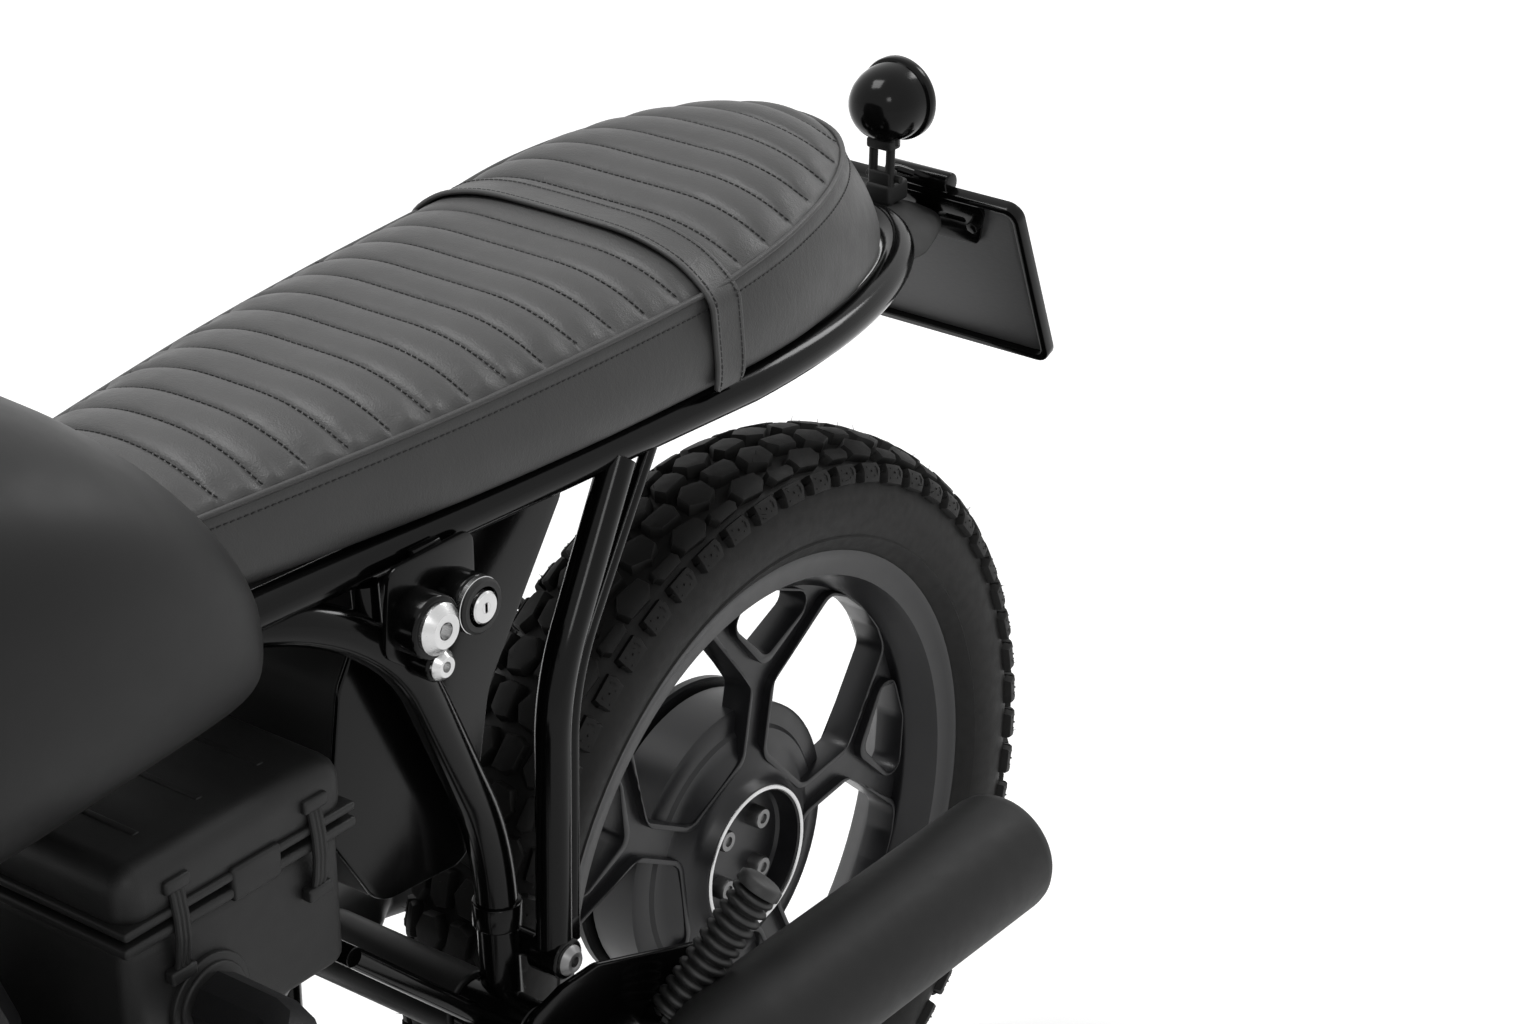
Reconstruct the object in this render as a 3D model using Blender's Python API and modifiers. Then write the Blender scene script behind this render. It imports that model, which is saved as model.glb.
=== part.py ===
"""A custom roadster motorcycle with a flat twin engine, standing on its centre stand.

Metres, +Z up. -X is forward, +Y is the rider's right, and z = 0 is the ground.
The origin is on the ground, in the middle of the overall length and width.
Chassis points are written from a datum on the ground below the rear axle, and at() places them.
The swinging arm's pivot and the nose of the engine set where the two wheels stand.
"""

import bpy
import bmesh
from math import cos, pi, radians, sin, sqrt, tan
from mathutils import Matrix, Vector

# Wheels and tyres
RIM_RADIUS = 0.2425
TYRE_HEIGHT = 0.0855
TYRE_HALF_WIDTH = 0.0505
TREAD_DEPTH = 0.008
TREAD_PITCHES = 20
LUG_TAPER = 0.90
RIM_HALF_WIDTH = 0.038
RIM_WALL = 0.0205
WHEEL_SIDES = 30
HUB_RADIUS = 0.080
SPOKE_FIRST_ANGLE = radians(79)
SPOKE_COUNT = 5
SPOKE_HALF = 0.015
FORK_HALF = 0.010
FORK_ANGLE = radians(19)
WEB_THICKNESS = 0.011
WALL_WIDTH = 0.0045
WALL_HEIGHT = 0.026
REAR_WHEEL_LIFT = 0.010
FIT = 0.0003

# Layout of the chassis
AXLE_LEVEL = 0.328
PIVOT_X = -0.385
PIVOT_Z = 0.435
PIVOT_CLEARANCE = 0.057
ENGINE_NOSE = -1.050
FRONT_CLEARANCE = 0.069

# Steering
RAKE = radians(28)
TRAIL = 0.120
FORK_LENGTH = 0.628
HEAD_LENGTH = 0.170
HEAD_RADIUS = 0.028
FORK_HALF_SPACING = 0.100
STANCHION_RADIUS = 0.0193
SLIDER_RADIUS = 0.028
SLIDER_LENGTH = 0.358
STEM_RADIUS = 0.016
AXLE_RADIUS = 0.008
BAR_RADIUS = 0.011
BAR_HALF_WIDTH = 0.380
BAR_RISE = 0.150
GRIP_LENGTH = 0.122
LAMP_RADIUS = 0.082

# Brake disc and its caliper
DISC_Y = -0.0640
DISC_RADIUS = 0.1425
DISC_THICKNESS = 0.005

# Frame and rear subframe
TUBE_RADIUS = 0.014
BACKBONE_RADIUS = 0.022
ARC_HALF_TOP = 0.045
ARC_HALF_MID = 0.113
ARC_HALF_LOW = 0.106
CRADLE_Z = 0.235
RAIL_RADIUS = 0.0125
RAIL_Z = 0.797
RAIL_FRONT = -0.600
RAIL_HALF_FRONT = 0.088
RAIL_HALF_REAR = 0.120
TAIL_START = -0.130
TAIL_LENGTH = 0.290
STRUT_RADIUS = 0.012
STRUT_HALF = 0.135
STRUT_FOOT = (-0.358, 0.480)

# Engine
CRANK_Z = 0.420
CRANKCASE_HALF = 0.105
CRANKCASE_BACK = -0.725
BARREL_RADIUS = 0.052
FIN_RADIUS = 0.078
CYLINDER_X = {-1: -0.885, 1: -0.845}
CYLINDER_OUT = 0.290
HEAD_OUT = 0.345
COVER_OUT = 0.373
SILENCER_Y = 0.210
SILENCER_Z = 0.388
SILENCER_RADIUS = 0.046

# Airbox and battery box
AIRBOX_X = -0.610
AIRBOX_HALF = 0.118
AIRBOX_TOP = 0.695
AIRBOX_BOTTOM = 0.5503
DUCT_Z = 0.585
BATTERY_HALF = 0.078
BATTERY_BOTTOM = 0.545
COVER_THICKNESS = 0.004

# Centre stand
STAND_X = -0.470
STAND_Z = 0.190
STAND_FOOT_FORWARD = 0.025
STAND_FOOT_HALF = 0.150
STAND_TUBE = 0.012

# Number plate and tail lamp
PLATE_TOP_X = 0.235
PLATE_TOP_Z = 0.800
PLATE_WIDTH = 0.177
PLATE_HEIGHT = 0.149
PLATE_TILT = radians(21)
LAMP_AT = (0.205, 0.8745)

# Both axles, the rise of the chassis on its tyres, and the steering that follow from the sizes above
TYRE_RADIUS = RIM_RADIUS + TYRE_HEIGHT
RISE = TYRE_RADIUS - AXLE_LEVEL
GROUND = -RISE
REAR_AXLE_X = PIVOT_X + PIVOT_CLEARANCE + TYRE_RADIUS
REAR_AXLE_Z = AXLE_LEVEL + REAR_WHEEL_LIFT
FRONT_AXLE_X = ENGINE_NOSE - FRONT_CLEARANCE - TYRE_RADIUS
SHIFT = -(REAR_AXLE_X + FRONT_AXLE_X) / 2
FORK_OFFSET = TYRE_RADIUS * sin(RAKE) - TRAIL * cos(RAKE)
HEAD_HEIGHT = (FORK_LENGTH + TRAIL * sin(RAKE) + TYRE_RADIUS * cos(RAKE)) * cos(RAKE) - RISE
HEAD_X = FRONT_AXLE_X - TRAIL + (HEAD_HEIGHT + RISE) * tan(RAKE)
SIDES = ((-1, "left"), (1, "right"))

COLLECTION = bpy.data.collections.new("custom_motorcycle")
CUTTERS = bpy.data.collections.new("cutters")

# Finish name: base colour, roughness, metallic
FINISHES = {
    "frame_black": ((0.012, 0.012, 0.012), 0.12, 0.0),
    "satin_black": ((0.03, 0.03, 0.03), 0.42, 0.0),
    "matte_black": ((0.025, 0.025, 0.025), 0.6, 0.0),
    "leather": ((0.045, 0.045, 0.045), 0.5, 0.0),
    "tyre": ((0.03, 0.03, 0.03), 0.75, 0.0),
    "rubber": ((0.02, 0.02, 0.02), 0.6, 0.0),
    "steel": ((0.62, 0.61, 0.59), 0.25, 1.0),
    "engine": ((0.035, 0.035, 0.036), 0.45, 0.3),
    "glass": ((0.8, 0.82, 0.84), 0.05, 0.0),
    "plate": ((0.10, 0.10, 0.10), 0.5, 0.2),
}


def clear_scene():
    for thing in list(bpy.data.objects):
        bpy.data.objects.remove(thing)
    bpy.context.scene.collection.children.link(COLLECTION)
    bpy.context.scene.collection.children.link(CUTTERS)
    CUTTERS.hide_render = True


def material(name):
    """The finish of that name, made once."""
    found = bpy.data.materials.get(name)
    if found:
        return found
    made = bpy.data.materials.new(name)
    made.use_nodes = True
    colour, roughness, metallic = FINISHES[name]
    shader = made.node_tree.nodes["Principled BSDF"]
    shader.inputs["Base Color"].default_value = (*colour, 1)
    shader.inputs["Roughness"].default_value = roughness
    shader.inputs["Metallic"].default_value = metallic
    return made


def at(x, y, z):
    """A point of the chassis: x from the datum, z from the ground under the standard tyre."""
    return Vector((x + SHIFT, y, z + RISE))


STEER = Matrix.Translation(at(HEAD_X, 0, HEAD_HEIGHT)) @ Matrix.Rotation(RAKE, 4, "Y")


def steer_point(x, y, z):
    """A point in the steering's own frame: x back, z up along the steering axis."""
    return STEER @ Vector((x, y, z))


def object_of(name, mesh, matrix=None):
    made = bpy.data.objects.new(name, mesh)
    COLLECTION.objects.link(made)
    if matrix is not None:
        made.matrix_world = matrix
    return made


def tidy(mesh, merge=0.00001):
    """Merges doubled points and turns the faces outwards."""
    shape = bmesh.new()
    shape.from_mesh(mesh)
    bmesh.ops.remove_doubles(shape, verts=shape.verts, dist=merge)
    bmesh.ops.recalc_face_normals(shape, faces=shape.faces)
    shape.to_mesh(mesh)
    shape.free()
    return mesh


def settled(thing):
    """The object with its modifiers applied and its place in its mesh."""
    bpy.context.view_layer.update()
    graph = bpy.context.evaluated_depsgraph_get()
    mesh = bpy.data.meshes.new_from_object(thing.evaluated_get(graph))
    mesh.transform(thing.matrix_world)
    name = thing.name
    bpy.data.objects.remove(thing)
    return object_of(name, tidy(mesh))


def place_between(start, end):
    """The matrix that stands local Z from start towards end, centred between them."""
    line = end - start
    turn = line.to_track_quat("Z", "Y").to_matrix().to_4x4()
    return Matrix.Translation((start + end) / 2) @ turn


def rod(start, end, radius, sides=10, end_radius=None):
    """A round bar or cone between two points."""
    start, end = Vector(start), Vector(end)
    shape = bmesh.new()
    bmesh.ops.create_cone(
        shape,
        cap_ends=True,
        segments=sides,
        radius1=radius,
        radius2=radius if end_radius is None else end_radius,
        depth=(end - start).length,
    )
    bmesh.ops.transform(shape, matrix=place_between(start, end), verts=shape.verts)
    mesh = bpy.data.meshes.new("rod")
    shape.to_mesh(mesh)
    shape.free()
    return object_of("rod", mesh)


def block(centre, size, bevel=0.0, turn=None, segments=1):
    """A box with rounded edges."""
    shape = bmesh.new()
    bmesh.ops.create_cube(shape, size=1)
    bmesh.ops.scale(shape, vec=size, verts=shape.verts)
    if bevel:
        bmesh.ops.bevel(
            shape, geom=shape.edges[:], offset=bevel, segments=segments, affect="EDGES", profile=0.5
        )
    matrix = Matrix.Translation(centre)
    if turn is not None:
        matrix = matrix @ turn
    bmesh.ops.transform(shape, matrix=matrix, verts=shape.verts)
    mesh = bpy.data.meshes.new("block")
    shape.to_mesh(mesh)
    shape.free()
    return object_of("block", mesh)


def each(value, count):
    """One value for each of that many corners."""
    return value if isinstance(value, (list, tuple)) else [value] * count


def bent(points, radius, steps=5):
    """The points of a path with rounded corners. Radius and steps are one value, or one for each corner."""
    points = [Vector(p) for p in points]
    radii, counts = each(radius, len(points) - 2), each(steps, len(points) - 2)
    path = [points[0]]
    for before, corner, after, bend, steps in zip(points, points[1:], points[2:], radii, counts):
        a, b = (before - corner).normalized(), (after - corner).normalized()
        half = a.angle(b) / 2
        reach = min(bend / tan(half), 0.49 * (before - corner).length, 0.49 * (after - corner).length)
        real = reach * tan(half)
        middle = corner + (a + b).normalized() * (real / sin(half))
        first, last = corner + a * reach - middle, corner + b * reach - middle
        whole = first.angle(last)
        for step in range(steps + 1):
            share = step / steps
            swung = (first * sin((1 - share) * whole) + last * sin(share * whole)) / sin(whole)
            path.append(middle + swung)
    return path + [points[-1]]


def tube(path, radius, detail=2):
    """A round tube along a path, with closed ends."""
    curve = bpy.data.curves.new("tube", "CURVE")
    curve.dimensions = "3D"
    curve.bevel_depth = radius
    curve.bevel_resolution = detail
    curve.use_fill_caps = True
    spline = curve.splines.new("POLY")
    spline.points.add(len(path) - 1)
    for point, place in zip(spline.points, path):
        point.co = (*place, 1)
    return settled(object_of("tube", curve))


def turned(profile, steps, matrix, closed=False):
    """A profile of (radius, height) turned round local Z. A closed profile makes a ring."""
    mesh = bpy.data.meshes.new("profile")
    points = [(r, 0, z) for r, z in profile]
    edges = [(i, i + 1) for i in range(len(points) - 1)]
    if closed:
        edges.append((len(points) - 1, 0))
    mesh.from_pydata(points, edges, [])
    thing = object_of("turned", mesh, matrix)
    screw = thing.modifiers.new("turn", "SCREW")
    screw.axis = "Z"
    screw.steps = screw.render_steps = steps
    screw.use_merge_vertices = True
    screw.merge_threshold = 0.00001
    return settled(thing)


def plate(outlines, thickness, matrix, chamfer=0.0):
    """A flat plate on local XY. The first outline is the edge, and any others are holes."""
    curve = bpy.data.curves.new("plate", "CURVE")
    curve.dimensions = "2D"
    curve.fill_mode = "BOTH"
    curve.extrude = thickness / 2 - chamfer
    curve.bevel_depth = chamfer
    curve.bevel_resolution = 0
    curve.offset = -chamfer
    for outline in outlines:
        spline = curve.splines.new("POLY")
        spline.points.add(len(outline) - 1)
        for point, (x, y) in zip(spline.points, outline):
            point.co = (x, y, 0, 1)
        spline.use_cyclic_u = True
    return settled(object_of("plate", curve, matrix))


def rounded(corners, radius, steps=2):
    """A flat closed outline with its corners rounded."""
    loop = [Vector((*c, 0)) for c in corners]
    outline = []
    for i, (corner, bend, count) in enumerate(zip(loop, each(radius, len(loop)), each(steps, len(loop)))):
        arc = [corner]
        if bend:
            arc = bent([loop[i - 1], corner, loop[(i + 1) % len(loop)]], bend, count)[1:-1]
        outline += [(p.x, p.y) for p in arc]
    return outline


def circle(radius, steps, centre=(0, 0)):
    turn = 2 * pi / steps
    return [(centre[0] + radius * cos(turn * i), centre[1] + radius * sin(turn * i)) for i in range(steps)]


def side_plane(y):
    """Local X along the machine and local Y up, on the plane at that y. Outlines count from the datum."""
    return Matrix.Translation(at(0, y, 0)) @ Matrix.Rotation(pi / 2, 4, "X")


def merge_flat_faces(mesh):
    """Merges the coplanar faces that a Boolean leaves."""
    shape = bmesh.new()
    shape.from_mesh(mesh)
    bmesh.ops.dissolve_limit(shape, angle_limit=radians(0.1), verts=shape.verts, edges=shape.edges)
    shape.to_mesh(mesh)
    shape.free()


def join(operation, base, others):
    """Joins or cuts one shape with others, and removes them."""
    for other in others:
        COLLECTION.objects.unlink(other)
        CUTTERS.objects.link(other)
    boolean = base.modifiers.new("boolean", "BOOLEAN")
    boolean.operation = operation
    boolean.operand_type = "COLLECTION"
    boolean.collection = CUTTERS
    boolean.solver = "EXACT"
    made = settled(base)
    merge_flat_faces(made.data)
    for other in others:
        bpy.data.objects.remove(other)
    return made


def fused(*shapes):
    return join("UNION", shapes[0], shapes[1:]) if len(shapes) > 1 else shapes[0]


def cut(base, *cutters):
    return join("DIFFERENCE", base, cutters)


def finished(shape, name, finish, sharp=35):
    """Names the finished piece and gives it its finish and smooth shading."""
    shape.name = name
    shape.data.name = name
    shape.data.materials.clear()
    shape.data.materials.append(material(finish))
    shape.data.shade_smooth()
    shape.data.set_sharp_from_angle(angle=radians(sharp))
    return shape


def loft(sections):
    """A closed skin through rings of points, each ring the same length."""
    shape = bmesh.new()
    rings = [[shape.verts.new(p) for p in ring] for ring in sections]
    sides = len(sections[0])
    for first, second in zip(rings, rings[1:]):
        for i in range(sides):
            j = (i + 1) % sides
            shape.faces.new((first[i], first[j], second[j], second[i]))
    shape.faces.new(rings[0][::-1])
    shape.faces.new(rings[-1])
    bmesh.ops.recalc_face_normals(shape, faces=shape.faces)
    mesh = bpy.data.meshes.new("loft")
    shape.to_mesh(mesh)
    shape.free()
    return object_of("loft", mesh)


def squared_ring(x, half_width, bottom, top, power, sides):
    """A ring of a squared oval across the machine."""
    ring = []
    for i in range(sides):
        angle = 2 * pi * (i + 0.5) / sides
        c, s = cos(angle), sin(angle)
        y = half_width * abs(c) ** (2 / power) * (1 if c > 0 else -1)
        z = (top + bottom) / 2 + (top - bottom) / 2 * abs(s) ** (2 / power) * (1 if s > 0 else -1)
        ring.append(at(x, y, z))
    return ring


def across(x, z, y=0.0):
    """Local Z along +Y, centred at that point: for wheels, hubs and cylinders."""
    return Matrix.Translation(at(x, y, z)) @ Matrix.Rotation(-pi / 2, 4, "X")


def along(x, y, z):
    """Local Z along +X, from that point back."""
    return Matrix.Translation(at(x, y, z)) @ Matrix.Rotation(pi / 2, 4, "Y")


def mirrored(points):
    return [Vector((p.x, -p.y, p.z)) for p in points]


def both_sides(path, radius, detail=2):
    return [tube(path, radius, detail), tube(mirrored(path), radius, detail)]


def crossbar(x, z, half, radius, sides=8):
    """A bar across the machine between the two sides."""
    return rod(at(x, -half, z), at(x, half, z), radius, sides)


def wheel_openings(grow):
    """The openings between the forked spokes, each grown into the metal round it by that much."""
    hub = HUB_RADIUS - grow
    outer = RIM_RADIUS - 0.0455 + grow * 0.6
    elbow = HUB_RADIUS + 0.487 * (RIM_RADIUS - 0.0455 - HUB_RADIUS) - grow
    crotch = elbow + 0.020 - grow
    stem_half, arm_half = SPOKE_HALF - grow, FORK_HALF - grow
    bend = 0.010 + grow
    pitch = 2 * pi / SPOKE_COUNT
    openings = []
    for i in range(SPOKE_COUNT):
        spoke = SPOKE_FIRST_ANGLE + i * pitch
        middle = spoke + pitch / 2
        spread = FORK_ANGLE + arm_half / outer
        edge = [
            (outer, pitch / 2 - spread),
            (elbow, pitch / 2 - stem_half / elbow),
            (hub, pitch / 2 - stem_half / hub),
        ]
        corners = [(r, middle - a) for r, a in edge] + [(r, middle + a) for r, a in reversed(edge)]
        corners.append((outer + 0.004, middle))
        flat = [(r * cos(a), r * sin(a)) for r, a in corners]
        openings.append(rounded(flat, [0, bend, bend, bend, bend, 0, 0], 1))
        inside = FORK_ANGLE - arm_half / outer
        fork = [(crotch, spoke), (outer, spoke + inside), (outer + 0.004, spoke), (outer, spoke - inside)]
        flat = [(r * cos(a), r * sin(a)) for r, a in fork]
        openings.append(rounded(flat, [bend, 0, 0, 0], 1))
    return openings


def rim_profile():
    """The rim's closed section: bead seats, well and inner face."""
    half = [
        (RIM_RADIUS, RIM_HALF_WIDTH),
        (RIM_RADIUS, RIM_HALF_WIDTH - 0.005),
        (RIM_RADIUS - 0.0135, RIM_HALF_WIDTH - 0.007),
        (RIM_RADIUS - 0.0345, 0.010),
    ]
    inner = [(RIM_RADIUS - 0.0395, -0.016), (RIM_RADIUS - RIM_WALL, -RIM_HALF_WIDTH + 0.002)]
    outside = [(r, -y) for r, y in half] + half[::-1]
    return outside + [(r, -y) for r, y in inner[::-1]] + inner


def cast_wheel(name, axle, hub_profile):
    """A cast wheel: turned rim and hub, and a thin web with a raised wall round each opening."""
    facing = side_plane(0) @ Matrix.Translation((*axle, 0))
    rim = turned(rim_profile(), WHEEL_SIDES, across(*axle), closed=True)
    hub = turned(hub_profile, 14, across(*axle), closed=True)
    web = plate([circle(RIM_RADIUS - 0.036, WHEEL_SIDES), circle(0.035, 12)], WEB_THICKNESS, facing)
    walls = [plate([outline], WALL_HEIGHT, facing) for outline in wheel_openings(WALL_WIDTH)]
    openings = [plate([outline], WALL_HEIGHT * 2, facing) for outline in wheel_openings(0.0)]
    whole = cut(fused(web, *walls), *openings)
    return finished(fused(rim, whole, hub), name, "satin_black")


def tyre(name, axle, first_angle):
    """A knobbly tyre: a carcass round its rim, with every other cell of its tread raised as a lug."""
    height = TYRE_HEIGHT
    base = TYRE_RADIUS - TREAD_DEPTH
    bead = RIM_HALF_WIDTH - 0.0053
    steps = 2 * TREAD_PITCHES
    # The ring's flats clear the round of the rim
    flats = 1 / cos(pi / steps)
    # Radius, half width and lead round the tyre down the right side, from the crown to the bead
    side = [
        (base - 0.03 * height, 0.46 * TYRE_HALF_WIDTH, radians(2.5)),
        (base - 0.13 * height, 0.82 * TYRE_HALF_WIDTH, radians(6)),
        (base - 0.30 * height, TYRE_HALF_WIDTH, radians(6)),
        (base - 0.70 * height, 1.01 * TYRE_HALF_WIDTH, 0.0),
        (RIM_RADIUS + 0.002, 0.039, 0.0),
        ((RIM_RADIUS + FIT) * flats, bead, 0.0),
        ((RIM_RADIUS - 0.0135 + FIT) * flats, bead - 0.0021, 0.0),
    ]
    lines = [(r, -y, lead) for r, y, lead in side[::-1]] + [(base, 0.0, 0.0)] + side
    first_row, rows = len(side) - 3, 6
    shape = bmesh.new()
    rings = []
    for step in range(steps):
        ring = []
        for radius, y, lead in lines:
            angle = first_angle + pi * step / TREAD_PITCHES + lead
            ring.append(shape.verts.new(at(axle[0] + radius * cos(angle), y, axle[1] + radius * sin(angle))))
        rings.append(ring)
    lugs = []
    for step, ring in enumerate(rings):
        after = rings[(step + 1) % steps]
        for i in range(len(ring)):
            j = (i + 1) % len(ring)
            face = shape.faces.new((ring[i], ring[j], after[j], after[i]))
            row = i - first_row
            if 0 <= row < rows and (row + step) % 2 == 0:
                lugs.append(face)
    bmesh.ops.recalc_face_normals(shape, faces=shape.faces)
    for face in bmesh.ops.extrude_discrete_faces(shape, faces=lugs)["faces"]:
        middle = face.calc_center_median()
        for vert in face.verts:
            vert.co = middle + (vert.co - middle) * LUG_TAPER + face.normal * TREAD_DEPTH
    mesh = bpy.data.meshes.new(name)
    shape.to_mesh(mesh)
    shape.free()
    return finished(object_of(name, mesh), name, "tyre")


def build_wheels():
    rear = (REAR_AXLE_X, REAR_AXLE_Z)
    front = (FRONT_AXLE_X, AXLE_LEVEL)
    # Left face with its bolt recess, then the brake drum and the spigot bore on the right
    rear_hub = [
        (0.0, -0.004),
        (0.050, -0.004),
        (0.054, -0.025),
        (0.059, -0.025),
        (0.066, -0.014),
        (0.115, 0.000),
        (0.115, 0.040),
        (0.0215, 0.040),
        (0.0215, 0.020),
        (0.0, 0.020),
    ]
    cast_wheel("rear_rim", rear, rear_hub)
    bore = AXLE_RADIUS + 0.0006
    front_hub = [
        (bore, -0.050),
        (0.022, -0.050),
        (0.030, -0.042),
        (0.040, -0.040),
        (0.062, -0.020),
        (0.085, -0.006),
        (0.085, 0.006),
        (0.050, 0.020),
        (0.030, 0.042),
        (0.022, 0.055),
        (bore, 0.055),
    ]
    cast_wheel("front_rim", front, front_hub)
    tyre("rear_tyre", rear, 0.0)
    tyre("front_tyre", front, -pi / 2 - pi / TREAD_PITCHES / 2)
    half = DISC_THICKNESS / 2
    ring = [(0.0415, -half), (DISC_RADIUS, -half), (DISC_RADIUS, half), (0.0415, half)]
    rotor = turned(ring, 28, across(*front, DISC_Y), closed=True)
    carrier = turned(
        [(0.0310, -half), (0.045, -half), (0.045, 0.010), (0.0410, 0.0232), (0.0310, 0.0212)],
        14,
        across(*front, DISC_Y),
        closed=True,
    )
    finished(fused(rotor, carrier), "front_disc", "steel")


def build_frame():
    arc = bent(
        [
            at(-0.66, ARC_HALF_TOP, 0.806),
            at(-0.475, ARC_HALF_MID, 0.768),
            at(-0.374, ARC_HALF_LOW - 0.006, 0.56),
            at(-0.370, ARC_HALF_LOW, CRADLE_Z),
            at(ENGINE_NOSE, ARC_HALF_LOW, CRADLE_Z - 0.010),
            steer_point(0.018, 0.018, -0.045),
        ],
        [0.15, 0.22, 0.08, 0.08],
        [1, 3, 2, 2],
    )
    shapes = both_sides(arc, TUBE_RADIUS)
    shapes.append(tube(backbone(), BACKBONE_RADIUS))
    shapes.append(crossbar(-0.645, 0.803, 0.058, 0.016, 10))
    for x in (-0.705, -0.42):
        shapes.append(crossbar(x, CRADLE_Z - 0.001 + 0.0147 * (x + 0.42), ARC_HALF_LOW, 0.010))
    # Stays of the battery tray, and the bar between them
    shapes.append(crossbar(-0.504, 0.538, 0.100, 0.007, 6))
    for side, _ in SIDES:
        shapes.append(rod(at(-0.373, side * 0.104, 0.418), at(-0.504, side * 0.098, 0.538), 0.007, 6))
        # Sleeve on the arc, swinging arm boss, and the subframe's boss and post
        shapes.append(rod(at(-0.3733, side * 0.1007, 0.500), at(-0.3731, side * 0.1010, 0.514), 0.0170, 10))
        boss_in, boss_out = side * (BATTERY_HALF + 0.0088), side * 0.142
        shapes.append(rod(at(PIVOT_X, boss_in, PIVOT_Z), at(PIVOT_X, boss_out, PIVOT_Z), 0.021, 12))
        (x, z), end = STRUT_FOOT, STRUT_HALF - 0.0123
        shapes.append(rod(at(x, side * ARC_HALF_LOW, z), at(x, side * end, z), 0.009, 8))
        post_top = at(-0.478, side * 0.1000, RAIL_Z - 0.0115)
        shapes.append(rod(at(-0.478, side * 0.1025, 0.745), post_top, 0.009, 8))
        shapes.append(stand_lug(side))
        for x in (-0.96, -0.79):
            foot, top = CRADLE_Z - 0.013, CRADLE_Z + 0.100
            mount = [(x - 0.026, foot), (x - 0.012, top), (x + 0.012, top), (x + 0.026, foot)]
            shapes.append(plate([mount], 0.006, side_plane(side * (CRANKCASE_HALF + FIT + 0.003))))
        gusset = [(-0.025, -0.060), (0.030, 0.010), (0.130, -0.025), (0.090, -0.045)]
        outline = [(HEAD_X + x, HEAD_HEIGHT + z) for x, z in gusset]
        shapes.append(plate([outline], 0.004, side_plane(side * 0.012)))
    half = HEAD_LENGTH / 2
    head = [(0.0, -half), (HEAD_RADIUS, -half), (HEAD_RADIUS, half), (0.0, half)]
    shapes.append(turned(head, 16, STEER))
    body = fused(*shapes)
    bore = rod(steer_point(0, 0, -0.12), steer_point(0, 0, 0.12), STEM_RADIUS + 0.0005, 16)
    # The rails seat on the posts
    seats = [tube(rail_path(side)[:2], RAIL_RADIUS + 0.0015, 2) for side, _ in SIDES]
    finished(cut(body, bore, *seats), "frame", "frame_black")


def backbone():
    """The ends of the main tube, from the steering head back to the frame's arcs."""
    return [at(HEAD_X, 0, HEAD_HEIGHT - 0.02), at(-0.62, 0, 0.800)]


def stand_lug(side):
    """The lug under the lower frame tube that carries the stand's pivot."""
    top, bottom = CRADLE_Z - 0.005, STAND_Z - 0.018
    corners = [(-0.024, top), (-0.018, bottom), (0.018, bottom), (0.024, top)]
    outline = rounded([(STAND_X + x, z) for x, z in corners], 0.010, 1)
    return plate([outline, circle(0.0104, 12, (STAND_X, STAND_Z))], 0.006, side_plane(side * 0.109))


def rail_path(side=1):
    """The seat rail of one side, from its front end to the middle of the tail."""
    path = [at(RAIL_FRONT, side * RAIL_HALF_FRONT, RAIL_Z)]
    steps = 6
    for i in range(steps + 1):
        angle = pi / 2 * i / steps
        path.append(at(TAIL_START + TAIL_LENGTH * sin(angle), side * RAIL_HALF_REAR * cos(angle), RAIL_Z))
    return path


def build_subframe():
    shapes = [tube(rail_path(1) + rail_path(-1)[-2::-1], RAIL_RADIUS)]
    foot_x, foot_z = STRUT_FOOT
    for side, _ in SIDES:
        y = side * STRUT_HALF
        strut = [at(-0.262, side * 0.1165, RAIL_Z - 0.006), at(-0.352, y, 0.672), at(foot_x, y, foot_z)]
        stay = [at(-0.232, side * 0.1180, RAIL_Z - 0.008), at(-0.334, y, 0.668)]
        stay.append(at(-0.3395, y, foot_z + 0.006))
        shapes.append(tube(bent(strut, 0.12, 2), STRUT_RADIUS))
        shapes.append(tube(bent(stay, 0.12, 2), 0.005, 0))
        shapes.append(rod(at(foot_x, y - 0.012, foot_z), at(foot_x, y + 0.012, foot_z), 0.014, 10))
        shapes.append(block(at(-0.349, y, foot_z + 0.012), (0.026, 0.010, 0.020)))
    shapes += [crossbar(x, RAIL_Z, 0.108, 0.009) for x in (-0.30, -0.02)]
    finished(fused(*shapes), "rear_subframe", "frame_black")


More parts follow.
